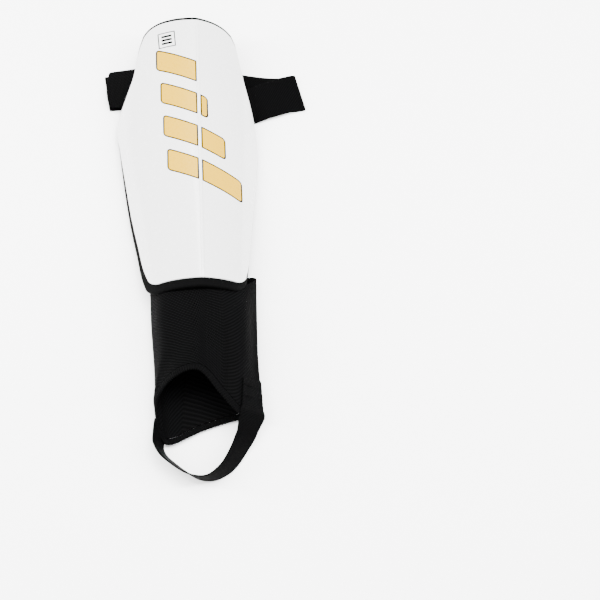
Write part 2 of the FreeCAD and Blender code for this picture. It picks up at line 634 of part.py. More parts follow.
# ---------------------------------------------------------------- build every piece
def build():
    nodes = {}
    nodes["shell"] = [make_shell()]
    nodes["graphic_outline"] = bars(BAR_BORDER, GLUE / 2)
    nodes["graphic_fill"] = bars(0.0, GLUE + FILM)
    nodes["size_badge"] = badge()
    nodes["foam_pad"] = [layer(pad_outline(), PAD_FRONT, PAD_BACK)]
    nodes["liner"] = [layer(pad_outline(), LINER_FRONT, LINER_BACK)]

    nodes["sleeve_cuff"] = [patch_solid(cuff, SEWN_FRONT, SEWN_FRONT + KNIT)]
    seam_depth = SEWN_FRONT + KNIT + GLUE + THREAD
    nodes["sleeve_stitches"] = stitches(lambda u: cuff(u, 0.85, seam_depth), [(0.04, 0.96, 24)])
    nodes["sleeve_stitches"] += stitches(lambda u: cuff(u, 0.3, seam_depth), [(0.04, 0.96, 24)])

    hem = HEM_WIDTH / (0.6 * SLEEVE_LENGTH)     # as a share of the tube, whose front is 60 mm long
    nodes["ankle_sleeve"] = [ring_solid(on_tube(tube_point, hem), 0.0, KNIT, along=14)]
    nodes["sleeve_top_hem"] = [ring_solid(on_tube(tube_point, 0.0, hem - 0.002), 0.0, KNIT,
                                          along=3)]
    proud = (EDGING_THICKNESS - KNIT) / 2
    nodes["ankle_edging"] = [ring_solid(on_tube(rim_point), -proud, KNIT + proud, along=3)]
    nodes["overlock_thread"] = [ring_solid(on_tube(rim_point, 0.1, 0.24), -proud - GLUE - THREAD,
                                           -proud - GLUE, along=3)]

    low, high = loop_edge(LOW_EDGE), loop_edge(HIGH_EDGE)
    nodes["stirrup_strap"] = [webbing(ribbon(low, high), STIRRUP_THICKNESS)]
    sewn = (-SEWN_GAP - STIRRUP_THICKNESS, -SEWN_GAP)
    thread_depth = -SEWN_GAP - STIRRUP_THICKNESS - 2 * GLUE - THREAD
    for name, from_t, to_t in (("medial", 0.235, 0.375), ("lateral", 0.82, 0.96)):
        patch = sleeve_patch(from_t, to_t, 0.78, 0.98)
        nodes["stirrup_end_" + name] = [patch_solid(patch, *sewn, across=16, along=8,
                                                    sheet=surface_over)]
        rows = []
        for v in (0.3, 0.62):
            rows += stitches(lambda u, v=v: patch(u, v, thread_depth), [(0.08, 0.92, 10)])
        nodes["stirrup_stitches_" + name] = rows

    sewn_end = ribbon(strap_edge(0), strap_edge(1))
    nodes["calf_strap_sewn_end"] = [webbing(sewn_end, STRAP_THICKNESS, along=60)]
    under = -STRAP_THICKNESS / 2 - GLUE - THREAD
    box_seam = []
    for s in (0.03, 0.13):
        box_seam += stitches(lambda w, s=s: sewn_end(s, w, under), [(0.06, 0.94, 8)])
    for w in (0.08, 0.92):
        box_seam += stitches(lambda s, w=w: sewn_end(s, w, under), [(0.035, 0.125, 4)])
    nodes["strap_stitches"] = box_seam

    run_low, run_high = run_edge(0), run_edge(1)
    nodes["calf_strap"] = [flat_strip(run_low, run_high, 0.0, STRAP_THICKNESS)]
    hook_z = STRAP_THICKNESS + GLUE
    nodes["hook_patch"] = [flat_strip(run_low, run_high, hook_z, hook_z + PILE,
                                      HOOK_FROM, HOOK_TO, HOOK_INSET)]

    def on_hook(w):
        def at(s):
            x, y = mix(run_low(s), run_high(s), w)
            return FreeCAD.Vector(x, y, hook_z + PILE + GLUE / 2 + THREAD)
        return at
    tape_rows = [(HOOK_FROM + 0.005, HOOK_TO - 0.005, 8)]
    nodes["hook_patch_stitches"] = [dash for w in (0.12, 0.88)
                                    for dash in stitches(on_hook(w), tape_rows)]

    nodes["closure_tab_base"] = [patch_solid(tab_base, 0.0, TAB_THICKNESS, across=6, along=8)]
    seam = TAB_THICKNESS + GLUE + THREAD
    nodes["closure_tab_stitches"] = [
        dash for u in (0.2, 0.8)
        for dash in stitches(lambda v, u=u: tab_base(u, v, seam), [(0.06, 0.94, 8)])]
    tab = tab_place(0.12, 1.0)
    nodes["closure_tab"] = [patch_solid(tab, TAB_THICKNESS / 2, -TAB_THICKNESS / 2,
                                        across=8, along=8)]
    pile_top = -TAB_THICKNESS / 2 - GLUE
    pile = tab_place(0.35, 0.94)
    nodes["loop_patch"] = [patch_solid(lambda u, v, d: pile(u, 0.08 + 0.84 * v, d),
                                       pile_top, pile_top - PILE, across=6, along=6)]
    return nodes


def main():
    nodes = build()
    whole = Part.makeCompound([s for solids in nodes.values() for s in solids])
    box = whole.optimalBoundingBox() if hasattr(whole, "optimalBoundingBox") else whole.BoundBox
    shift = FreeCAD.Vector(-box.Center.x, -box.Center.y, -box.ZMin)
    for name, solids in nodes.items():
        shape = solids[0] if len(solids) == 1 else Part.makeCompound(solids)
        shape.translate(shift)
        shape.exportStep(f"parts/{name}.step")
        print(name, len(solids), "valid", shape.isValid(), "volume", round(shape.Volume, 1))
    print("moved by", shift, "plate lift", PLATE_LIFT)


main()
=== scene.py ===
"""Football shin guard: moulded shell on a foam pad, with calf strap, knitted ankle sleeve and stirrup.

The guard lies on its back, front up: X runs across the shin to its inner side, Y up the shin to the
knee and Z up off the floor. Shapes are worked out in millimetres with Y from the shell's lower
edge, and each mesh is moved to the frame and turned to metres as it is made.
"""
import json
import math

import bpy
import numpy as np
from mathutils import Matrix, Vector


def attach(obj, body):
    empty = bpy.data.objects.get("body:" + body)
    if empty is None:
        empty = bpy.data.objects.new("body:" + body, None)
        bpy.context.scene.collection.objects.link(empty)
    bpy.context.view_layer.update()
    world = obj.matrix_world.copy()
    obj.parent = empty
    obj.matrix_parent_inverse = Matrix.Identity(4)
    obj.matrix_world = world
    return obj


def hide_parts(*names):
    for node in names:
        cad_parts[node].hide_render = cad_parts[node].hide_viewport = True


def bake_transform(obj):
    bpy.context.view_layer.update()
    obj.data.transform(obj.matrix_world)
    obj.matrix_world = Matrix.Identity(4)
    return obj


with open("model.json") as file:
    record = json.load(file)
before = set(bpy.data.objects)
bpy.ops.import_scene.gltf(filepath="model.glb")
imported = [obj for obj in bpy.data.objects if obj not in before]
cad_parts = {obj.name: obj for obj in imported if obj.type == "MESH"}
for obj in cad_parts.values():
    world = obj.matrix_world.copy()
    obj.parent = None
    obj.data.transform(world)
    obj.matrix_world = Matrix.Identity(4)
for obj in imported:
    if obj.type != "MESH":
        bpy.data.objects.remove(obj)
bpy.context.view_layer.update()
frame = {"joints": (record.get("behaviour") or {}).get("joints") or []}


# ---------------------------------------------------------------- shell
# The shell is a 2 mm polypropylene plate, moulded to the shin's arch and polished in the mould. A
# ridge follows the shin bone, with a thin raised rib along it. Its rim is rounded in the mould,
# and its whole back is glued to the foam.
SHELL_LENGTH = 242.5
LATERAL_WIDTH, MEDIAL_WIDTH = 65.0, 57.0
SHELL_WALL = 2.0
RIDGE_X, RIDGE_RISE, RIDGE_SPREAD = 7.0, 1.6, 11.0
END_FLARE = 3.0
RIB_WIDTH, RIB_HEIGHT, RIB_FLANK = 2.2, 0.6, 0.5
SHELL_CORNER = 7.0
PAD_THICKNESS, LINER_THICKNESS, GLUE = 5.0, 0.8, 0.1
PAD_MARGIN_BOTTOM, PAD_MARGIN_TOP, PAD_MARGIN_MEDIAL = 7.0, 4.0, 1.8
PAD_MARGIN_LATERAL_LOW, PAD_MARGIN_LATERAL_HIGH = 4.0, 2.2
PAD_FRONT = SHELL_WALL + GLUE
PAD_BACK = PAD_FRONT + PAD_THICKNESS
LINER_FRONT = PAD_BACK + GLUE
LINER_BACK = LINER_FRONT + LINER_THICKNESS
SEWN_FRONT = LINER_BACK + GLUE
SLEEVE_MIDDLE = 6.5
PAD_LOW = -PAD_MARGIN_BOTTOM
# height as a share of the length, half the arch's chord as a share of the width, edge slope
ARCH = ((0.0, 0.32, 50.0), (0.3, 0.426, 60.0), (0.62, 0.5, 60.5), (1.0, 0.37, 43.0))
ARCH_CENTRES = ((0.0, 0.020), (0.3, -0.004), (0.62, -0.033), (1.0, -0.016))
# outline points, as shares of the widths and of the length, from the lower edge up
LATERAL_EDGE = ((-0.56, 0.0), (-0.655, 0.075), (-0.715, 0.155), (-0.81, 0.285), (-0.882, 0.412),
                (-0.96, 0.557), (-1.0, 0.647), (-0.946, 0.697), (-0.854, 0.755), (-0.763, 0.816),
                (-0.715, 0.874), (-0.682, 0.915), (-0.612, 0.962))
MEDIAL_EDGE = ((0.72, 0.0), (0.79, 0.07), (0.835, 0.165), (0.903, 0.293), (0.968, 0.43),
               (1.0, 0.536), (0.982, 0.635), (0.922, 0.713), (0.823, 0.804), (0.76, 0.878),
               (0.715, 0.926), (0.64, 0.96))
TOP_EDGE = ((-0.53, 0.983), (-0.428, 0.994), (-0.246, 1.001), (-0.05, 1.003), (0.21, 1.0),
            (0.43, 0.99), (0.552, 0.977))


def mix(a, b, t):
    """a + (b - a) t, with t spread over the coordinates."""
    return a + (b - a) * np.asarray(t, float)[..., None]


def unit(v):
    return v / np.linalg.norm(v, axis=-1, keepdims=True)


def ramp(x):
    """0 below 0, 1 above 1 and 3x^2 - 2x^3 between."""
    x = np.clip(x, 0, 1)
    return x * x * (3 - 2 * x)


def hermite(s, start, end, pull_out, pull_in):
    """Cubic from start to end with the two end slopes, for s from 0 to 1."""
    return ((2 * s**3 - 3 * s**2 + 1) * start + (3 * s**2 - 2 * s**3) * end
            + (s**3 - 2 * s**2 + s) * pull_out + (s**3 - s**2) * pull_in)


def smooth_value(stations, values, x):
    """Cubic through (station, value), each slope the mean of its two chords, straight past the ends."""
    stations, values, x = (np.asarray(a, float) for a in (stations, values, x))
    chords = np.diff(values) / np.diff(stations)
    slopes = np.concatenate([chords[:1], (chords[1:] + chords[:-1]) / 2, chords[-1:]])
    i = np.clip(np.searchsorted(stations, x, side="right") - 1, 0, len(chords) - 1)
    span = stations[i + 1] - stations[i]
    s = np.clip((x - stations[i]) / span, 0, 1)
    inside = hermite(s, values[i], values[i + 1], slopes[i] * span, slopes[i + 1] * span)
    past = slopes[0] * np.minimum(x - stations[0], 0) + slopes[-1] * np.maximum(x - stations[-1], 0)
    return inside + past


def chord_knots(points):
    """Share of the length reached at each point of points[k], or of each column of points[k, n]."""
    gaps = np.linalg.norm(np.diff(points, axis=0), axis=-1)
    return np.concatenate([np.zeros_like(gaps[:1]), np.cumsum(gaps, axis=0)]) / gaps.sum(axis=0)


def smooth_curve(points, closed=False, knots=None):
    """Curve through points[k] as a function of 0 to 1, or one curve for each column of points[k, n].

    Each span is a cubic, and each slope is its two chords' mean, weighted by the spans' lengths.
    """
    points = np.asarray(points, float)
    if closed:
        points = np.concatenate([points, points[:1]])
    knots = chord_knots(points) if knots is None else np.asarray(knots, float)
    gaps = np.diff(knots, axis=0)[..., None]
    chords = np.diff(points, axis=0) / gaps
    first, last = (chords[-1:], chords[:1]) if closed else (chords[:1], chords[-1:])
    before, after = np.concatenate([first, chords]), np.concatenate([chords, last])
    gap_before = np.concatenate([gaps[-1:] if closed else gaps[:1], gaps])
    gap_after = np.concatenate([gaps, gaps[:1] if closed else gaps[-1:]])
    slopes = before + (after - before) * gap_before / (gap_before + gap_after)

    def at(t):
        t = np.asarray(t, float)
        t = t % 1.0 if closed else np.clip(t, 0, 1)
        inner = knots[1:-1].reshape((-1,) + (1,) * (t.ndim - knots.ndim + 1) + knots.shape[1:])
        i = (t[None] >= inner).sum(axis=0)
        column = () if knots.ndim == 1 else (np.arange(knots.shape[1]),)
        span = gaps[(i,) + column]
        s = (t - knots[(i,) + column])[..., None] / span
        return hermite(s, points[(i,) + column], points[(i + 1,) + column],
                       slopes[(i,) + column] * span, slopes[(i + 1,) + column] * span)
    return at


def arch_height(x, y):
    """Height under the crown: a circle's arc across, straight past its chord, plus ridge and bow."""
    share, width = y / SHELL_LENGTH, LATERAL_WIDTH + MEDIAL_WIDTH
    stations, chords, slopes = np.array(ARCH).T
    half = smooth_value(stations, chords * width, share)
    slope = np.radians(smooth_value(stations, slopes, share))
    centres = np.array(ARCH_CENTRES).T
    centre = smooth_value(centres[0], centres[1] * width, share)
    radius = half / np.sin(slope)
    reach = np.abs(x - centre)
    inside = np.minimum(reach, half)
    drop = radius - np.sqrt(radius**2 - inside**2) + np.tan(slope) * (reach - inside)
    bow = END_FLARE * ((share - 0.45) / 0.55) ** 2
    ridge = RIDGE_RISE * np.exp(-(np.hypot(x - RIDGE_X, 2.0) - 2.0) / RIDGE_SPREAD)
    return bow + ridge - drop


def arch(x, y, depth=0.0):
    """Point at a depth under the plate's front face, along its normal, with the crown near 0."""
    x, y, step = np.asarray(x, float), np.asarray(y, float), 0.05
    rise_x = (arch_height(x + step, y) - arch_height(x - step, y)) / (2 * step)
    rise_y = (arch_height(x, y + step) - arch_height(x, y - step)) / (2 * step)
    normal = unit(np.stack([-rise_x, -rise_y, np.ones_like(rise_x)], -1))
    return np.stack([x, y, arch_height(x, y)], -1) - normal * np.asarray(depth, float)[..., None]


# The sleeve's hinge is known in the frame and on the guard: at the sleeve's middle, one millimetre
# past the pad's lower end and at the height of its sewn side.
hinge = 1000 * np.array(next(j["pos_m"] for j in frame["joints"] if j["name"] == "sleeve_fold"))
HINGE_PAST_PAD = 1.0
PLATE_LIFT = hinge[2] - arch(RIDGE_X, PAD_LOW, SEWN_FRONT)[2]
TO_FRAME = np.array([hinge[0] - SLEEVE_MIDDLE, hinge[1] - PAD_LOW + HINGE_PAST_PAD, 0.0])


def plate(x, y, depth=0.0):
    return arch(x, y, depth) + (0.0, 0.0, PLATE_LIFT)


def rib(x, y):
    """Height of the rib: flat-topped across, with steep flanks, and faded out at both ends."""
    across = ramp((RIB_WIDTH / 2 + RIB_FLANK / 2 - np.abs(x - RIDGE_X)) / RIB_FLANK)
    share = y / SHELL_LENGTH
    return RIB_HEIGHT * across * ramp((share - 0.012) / 0.008) * ramp((0.985 - share) / 0.008)


def outline(grow=lambda share_x, share_y: (0.0, 0.0)):
    """Side edges and top edge of a plate layer, with grow() added to the shell's outline."""
    def points(shares):
        share_x, share_y = np.array(shares).T
        x = share_x * np.where(share_x < 0, LATERAL_WIDTH, MEDIAL_WIDTH)
        more_x, more_y = grow(share_x, share_y)
        return np.stack([x + more_x, share_y * SHELL_LENGTH + more_y], -1)
    lateral, medial = points(LATERAL_EDGE), points(MEDIAL_EDGE)
    top = np.concatenate([lateral[-1:], points(TOP_EDGE), medial[-1:]])
    return smooth_curve(lateral), smooth_curve(medial), smooth_curve(top)


def layer(edges):
    """place(u, v, depth) on a plate layer. The plan is two Coons patches that meet on the ridge line."""
    lateral, medial, top = edges
    low_lateral, low_medial = lateral(0.0), medial(0.0)
    shares = np.linspace(0, 1, 2001)
    ridge_top = np.interp(RIDGE_X, top(shares)[:, 0], shares)
    ridge_low = np.array([RIDGE_X, low_lateral[1]])
    ridge_high = top(ridge_top)
    split = (RIDGE_X - low_lateral[0]) / (low_medial[0] - low_lateral[0])

    def half(p, v, left, right, low, high):
        across = mix(mix(low[0], low[1], p), high(p), v)
        along = mix(left(v), right(v), p)
        corners = mix(mix(low[0], low[1], p), mix(high(0.0), high(1.0), p), v)
        return across + along - corners

    def ridge(v):
        return mix(ridge_low, ridge_high, v)

    def place(u, v, depth):
        u, v = np.broadcast_arrays(u, v)
        outer = half(np.clip(u / split, 0, 1), v, lateral, ridge, (low_lateral, ridge_low),
                     lambda p: top(np.asarray(p) * ridge_top))
        inner = half(np.clip((u - split) / (1 - split), 0, 1), v, ridge, medial,
                     (ridge_low, low_medial),
                     lambda p: top(ridge_top + np.asarray(p) * (1 - ridge_top)))
        x, y = np.moveaxis(np.where((u < split)[..., None], outer, inner), -1, 0)
        return plate(x, y, depth)
    return place, split


EDGE_STEPS = 6


def soft_steps(count, support):
    """0 to 1 in even steps, with one short step at each end that keeps the rim crisp."""
    return np.concatenate([[0.0], np.linspace(support, 1 - support, count), [1.0]])


def quads(order):
    """Four-cornered faces between neighbours of a grid of vertex numbers."""
    corners = (order[:-1, :-1], order[1:, :-1], order[1:, 1:], order[:-1, 1:])
    return np.stack(corners, -1).reshape(-1, 4)


def round_corners(u, v, size, radii):
    """Rounds the unit square's corners: (p, q) goes to (p sqrt(1 - q^2/2), q sqrt(1 - p^2/2))."""
    for end_u, end_v, radius in ((0, 0, radii[0]), (1, 0, radii[1]), (0, 1, radii[2]), (1, 1, radii[3])):
        share_u, share_v = max(radius, 1e-6) / size[0], max(radius, 1e-6) / size[1]
        p = 1 - np.abs(end_u - u) / share_u
        q = 1 - np.abs(end_v - v) / share_v
        inside = (p > 0) & (q > 0)
        p, q = np.clip(p, 0, 1), np.clip(q, 0, 1)
        new_u = end_u + (1 - 2 * end_u) * (1 - p * np.sqrt(1 - q * q / 2)) * share_u
        new_v = end_v + (1 - 2 * end_v) * (1 - q * np.sqrt(1 - p * p / 2)) * share_v
        u, v = np.where(inside, new_u, u), np.where(inside, new_v, v)
    return u, v


def slab(place, size, top, bottom, counts, edge, radii=(0, 0, 0, 0), more=()):
    """Closed slab between two depths, with a half-round rim that bulges by edge.

    place(u, v, depth) carries the unit square, whose sides measure size in millimetres, and the
    square's corners are rounded to radii first.
    """
    u = np.unique(np.concatenate([soft_steps(counts[0], 0.3 / size[0]), more]))
    u, v = np.meshgrid(u, soft_steps(counts[1], 0.3 / size[1]), indexing="ij")
    order = np.arange(u.size).reshape(u.shape)
    u, v = round_corners(u, v, size, radii)
    rim = np.concatenate([order[:, 0], order[-1, 1:], order[-2::-1, -1], order[0, -2:0:-1]])

    def points_at(turn, which):
        inset = edge * (1 - math.sin(math.pi * turn))
        depth = (top + bottom) / 2 - (bottom - top) / 2 * math.cos(math.pi * turn)
        a = inset / size[0] + u.ravel()[which] * (1 - 2 * inset / size[0])
        b = inset / size[1] + v.ravel()[which] * (1 - 2 * inset / size[1])
        return place(a, b, np.full(a.shape, depth)), np.stack([a * size[0], b * size[1]], -1)

    layers = [points_at(0, order.ravel())]
    layers += [points_at(k / EDGE_STEPS, rim) for k in range(1, EDGE_STEPS)]
    layers.append(points_at(1, order.ravel()))
    loops = [rim]
    loops += [u.size + k * len(rim) + np.arange(len(rim)) for k in range(EDGE_STEPS - 1)]
    back = u.size + (EDGE_STEPS - 1) * len(rim)
    loops.append(back + rim)
    sides = [np.stack([np.roll(a, -1), a, b, np.roll(b, -1)], -1) for a, b in zip(loops, loops[1:])]
    faces = np.concatenate([quads(order), (back + quads(order))[:, ::-1]] + sides)
    uv = np.concatenate([flat for points, flat in layers])
    return np.concatenate([points for points, flat in layers]), faces, uv[faces]


def piece(name, shape, finish, nodes, body=None):
    """Makes a shape a piece that stands for CAD nodes. A shape is points, faces and face-corner UVs."""
    points, faces, uv = shape
    a, b, c, d = np.moveaxis(points[faces], 1, 0)
    if (np.cross(b, c) * a).sum() + (np.cross(c, d) * a).sum() < 0:
        faces, uv = faces[:, ::-1], uv[:, ::-1]
    mesh = bpy.data.meshes.new(name)
    mesh.vertices.add(len(points))
    mesh.vertices.foreach_set("co", ((points + TO_FRAME) / 1000).astype(np.float32).ravel())
    mesh.loops.add(faces.size)
    mesh.loops.foreach_set("vertex_index", faces.astype(np.int32).ravel())
    mesh.polygons.add(len(faces))
    mesh.polygons.foreach_set("loop_start", np.arange(0, faces.size, 4, dtype=np.int32))
    mesh.polygons.foreach_set("use_smooth", np.ones(len(faces), bool))
    mesh.update(calc_edges=True)
    mesh.uv_layers.new(name="cloth").data.foreach_set("uv", uv.astype(np.float32).ravel())
    mesh.materials.append(finish.material)
    made = bpy.data.objects.new(name, mesh)
    bpy.context.scene.collection.objects.link(made)
    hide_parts(*nodes)
    if body:
        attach(made, body)
    return made


class Socket:
    """An output of a shader node. Sums and products of sockets and numbers add Math nodes."""

    def __init__(self, finish, output):
        self.finish = finish
        self.output = output

    def maths(self, operation, first, second=0.0):
        return self.finish.node("ShaderNodeMath", {"operation": operation}, {0: first, 1: second})

    def __add__(self, other):
        return self.maths("ADD", self, other)

    def __sub__(self, other):
        return self.maths("SUBTRACT", self, other)

    def __rsub__(self, other):
        return self.maths("SUBTRACT", other, self)

    def __mul__(self, other):
        return self.maths("MULTIPLY", self, other)

    __radd__, __rmul__ = __add__, __mul__

    def __abs__(self):
        return self.maths("ABSOLUTE", self)

    def wave(self, pitch):
        """Sine of this length over a pitch, from 0 to 1."""
        return self.maths("SINE", self * (2 * math.pi / pitch)) * 0.5 + 0.5

    def limit(self, low=0.0, high=1.0):
        return self.maths("MINIMUM", self.maths("MAXIMUM", self, low), high)


class Finish:
    """A material: constants go straight on the Principled shader's sockets."""

    def __init__(self, name, **constants):
        self.material = bpy.data.materials.new(name)
        self.material.use_nodes = True
        self.shader = self.material.node_tree.nodes["Principled BSDF"]
        for socket, value in constants.items():
            self.shader.inputs[socket.replace("_", " ")].default_value = value

    def node(self, kind, settings, inputs, output=0):
        """One node of a kind, with its settings, then the values or links of its sockets."""
        node = self.material.node_tree.nodes.new(kind)
        for name, value in settings.items():
            setattr(node, name, value)
        for socket, value in inputs.items():
            self.put(node.inputs[socket], value)
        return Socket(self, node.outputs[output])

    def put(self, socket, value):
        if isinstance(value, Socket):
            self.material.node_tree.links.new(value.output, socket)
        else:
            socket.default_value = value

    def object_place(self):
        return self.node("ShaderNodeTexCoord", {}, {}, "Object")

    def cloth_place(self):
        """Millimetres along and across the piece's own cloth."""
        place = self.node("ShaderNodeUVMap", {"uv_map": "cloth"}, {})
        return tuple(self.node("ShaderNodeSeparateXYZ", {}, {0: place}, axis) for axis in (0, 1))

    def noise(self, scale, detail=3.0, place=None):
        place = place or self.object_place()
        return self.node("ShaderNodeTexNoise", {}, {"Vector": place, "Scale": scale, "Detail": detail})

    def colour(self, share, low, high):
        """Colour from low to high as share goes from 0 to 1."""
        blend = self.node("ShaderNodeMix", {"data_type": "RGBA"},
                          {0: share, 6: (*low, 1), 7: (*high, 1)}, 2)
        self.put(self.shader.inputs["Base Color"], blend)

    def roughness(self, value):
        self.put(self.shader.inputs["Roughness"], value)

    def bump(self, height, distance, strength=1.0):
        """Relief: height from 0 to 1 over a distance in millimetres."""
        relief = self.node("ShaderNodeBump", {}, {"Height": height, "Distance": distance / 1000,
                                                  "Strength": strength})
        self.put(self.shader.inputs["Normal"], relief)


# Polished white polypropylene: near white, with a faint ripple from the mould's polish and fine
# scuffs that only dull the gloss.
shell_finish = Finish("white_polypropylene", Coat_Weight=0.55, Coat_Roughness=0.06, IOR=1.49)
scuff = shell_finish.noise(260.0, 6.0)
shell_finish.colour(shell_finish.noise(14.0), (0.52, 0.52, 0.52), (0.56, 0.56, 0.558))
shell_finish.roughness(scuff * 0.12 + 0.20)
shell_finish.bump(shell_finish.noise(900.0, 2.0), 0.015)

shell_place, ridge_share = layer(outline())


def shell_face(u, v, depth):
    """The plate's layer with the rib added to its front half."""
    flat = shell_place(u, v, np.zeros_like(depth))
    proud = rib(flat[..., 0], flat[..., 1]) * np.clip(1 - depth / SHELL_WALL, 0, 1)
    return shell_place(u, v, depth - proud)


shell = piece("moulded_shell",
              slab(shell_face, (77.0, SHELL_LENGTH), 0.0, SHELL_WALL, (88, 170), 0.7,
                   (SHELL_CORNER, SHELL_CORNER, 0, 0),
                   more=ridge_share + np.linspace(-1.9, 1.9, 39) / 77.0),
              shell_finish, ["shell"], "guard")


# ---------------------------------------------------------------- printed graphic and badge
# Pad-printed ink films on the shell's face: four slanted bars, a dark outline under a yellow fill,
# each bar broken where it meets the rib, and a small square badge near the top.
FILM = 0.03
BAR_HEIGHT, BAR_PITCH, BAR_SLANT, BAR_BORDER, BAR_GAP = 18.0, 31.0, 0.42, 1.2, 2.4
TOP_BAR = 0.79              # height of the top bar at the ridge, as a share of the length
BAR_CORNER, BAR_SHORTEST = 2.0, 3.2
BAR_LENGTHS, BAR_CENTRES = (26.0, 38.0, 50.0, 60.0), (-15.0, -5.5, 2.5, 10.5)     # from the top
BADGE_SIZE = 15.0


def join(shapes):
    """Several shapes as one."""
    starts = np.cumsum([0] + [len(points) for points, faces, uv in shapes[:-1]])
    return (np.concatenate([points for points, faces, uv in shapes]),
            np.concatenate([faces + start for start, (points, faces, uv) in zip(starts, shapes)]),
            np.concatenate([uv for points, faces, uv in shapes]))


def print_film(outline_at, size, top, corners):
    """Film over a region of the shell's face: outline_at(u, v) gives its plan."""
    def place(u, v, depth):
        return plate(*outline_at(u, v), depth)
    counts = [max(4, int(side / 1.2)) for side in size]
    return slab(place, size, -top - FILM, -top, counts, 0.02, corners)


def bars(border, top):
    """The slanted bars, one film for each side of the rib, grown by border."""
    films = []
    for row, (length, centre) in enumerate(zip(BAR_LENGTHS, BAR_CENTRES)):
        height = TOP_BAR * SHELL_LENGTH - BAR_PITCH * row
        left, right = centre - length / 2, centre + length / 2
        for x0, x1 in ((left, RIDGE_X - BAR_GAP), (RIDGE_X + BAR_GAP, right)):
            if x1 - x0 < BAR_SHORTEST:
                continue

            def plan(u, v, x0=x0 - border, x1=x1 + border, height=height):
                x = x0 + (x1 - x0) * u
                return x, height - BAR_SLANT * (x - RIDGE_X) + (v - 0.5) * (BAR_HEIGHT + 2 * border)
            outer = BAR_CORNER + border
            inner = 0.3 + border / 2
            corners = (outer, inner, outer, inner) if x0 < RIDGE_X else (inner, outer, inner, outer)
            size = (x1 - x0 + 2 * border, BAR_HEIGHT + 2 * border)
            films.append(print_film(plan, size, top, corners))
    return join(films)


def badge():
    """A square frame of four strokes with three plain bars in it, tilted by four degrees."""
    centre_x, centre_y = -0.3 * LATERAL_WIDTH, 0.928 * SHELL_LENGTH
    half, line, tilt = BADGE_SIZE / 2, 0.06 * BADGE_SIZE, math.radians(4)
    boxes = [(-half, half, half - line, half), (-half, half, -half, line - half),
             (-half, line - half, line - half, half - line), (half - line, half, line - half, half - line)]
    boxes += [(-0.3 * BADGE_SIZE, 0.3 * BADGE_SIZE, 3.4 * row - 1.0, 3.4 * row + 1.0) for row in (-1, 0, 1)]
    films = []
    for x0, x1, y0, y1 in boxes:
        def plan(u, v, x0=x0, x1=x1, y0=y0, y1=y1):
            a, b = x0 + (x1 - x0) * u, y0 + (y1 - y0) * v
            return (centre_x + a * math.cos(tilt) - b * math.sin(tilt),
                    centre_y + a * math.sin(tilt) + b * math.cos(tilt))
        rounding = 0.4 if y1 - y0 < 3 and x1 - x0 < BADGE_SIZE - 1 else 0.0
        films.append(print_film(plan, (x1 - x0, y1 - y0), 0.02, (rounding,) * 4))
    return join(films)


dark_ink = Finish("dark_ink", Coat_Weight=0.0, Specular_IOR_Level=0.02)
dark_ink.colour(dark_ink.noise(700.0), (0.00051, 0.00051, 0.0006), (0.00102, 0.00102, 0.00111))
dark_ink.roughness(dark_ink.noise(300.0) * 0.15 + 0.25)
yellow_ink = Finish("yellow_ink", Specular_IOR_Level=0.2)
yellow_ink.colour(yellow_ink.noise(40.0, 4.0), (0.37, 0.215, 0.0005), (0.40, 0.23, 0.0008))
yellow_ink.roughness(yellow_ink.noise(300.0) * 0.12 + 0.22)
yellow_ink.bump(yellow_ink.noise(1800.0, 2.0), 0.01)
piece("graphic_outline_print", bars(BAR_BORDER, 0.02), dark_ink, ["graphic_outline"], "guard")
piece("graphic_fill_print", bars(0.0, 0.06), yellow_ink, ["graphic_fill"], "guard")
piece("size_badge_print", badge(), dark_ink, ["size_badge"], "guard")


# ---------------------------------------------------------------- foam pad and liner
# The pad is 5 mm EVA foam, die cut a little larger than the shell, so that it shows all round as a
# soft black border. Its edge is pressed round. A brushed knit liner is laminated to its back.
PAD_CORNER = 9.0


def pad_grow(share_x, share_y):
    """The pad's margins: more at the bottom and low on the lateral side, blended up the edge."""
    high = np.clip((share_y - 0.45) / 0.2, 0, 1)
    lateral = PAD_MARGIN_LATERAL_LOW + (PAD_MARGIN_LATERAL_HIGH - PAD_MARGIN_LATERAL_LOW) * high
    margin = np.where(share_x > 0, PAD_MARGIN_MEDIAL, -lateral)
    sideways = np.clip(np.abs(share_x) / 0.55, 0, 1)
    sideways = sideways * np.where(share_y <= LATERAL_EDGE[-1][1], 1.0, 0.8)
    more_y = share_y * (PAD_MARGIN_BOTTOM + PAD_MARGIN_TOP) - PAD_MARGIN_BOTTOM
    return margin * sideways, more_y


pad_edges = outline(pad_grow)
pad_place = layer(pad_edges)[0]

foam = Finish("black_eva_foam", Specular_IOR_Level=0.015)
pores = foam.node("ShaderNodeTexVoronoi", {}, {"Vector": foam.object_place(), "Scale": 1500.0})
cells = foam.noise(420.0, 5.0)
foam.colour(cells, (0.00034, 0.00034, 0.00037), (0.00102, 0.00102, 0.00107))
foam.roughness(cells * 0.2 + 0.62)
foam.bump(pores * 0.6 + cells * 0.4, 0.12)
pad = piece("pad_foam",
            slab(pad_place, (83.0, 253.0), PAD_FRONT, PAD_BACK, (70, 150), 1.9,
                 (PAD_CORNER, PAD_CORNER, 0, 0)),
            foam, ["foam_pad"], "guard")

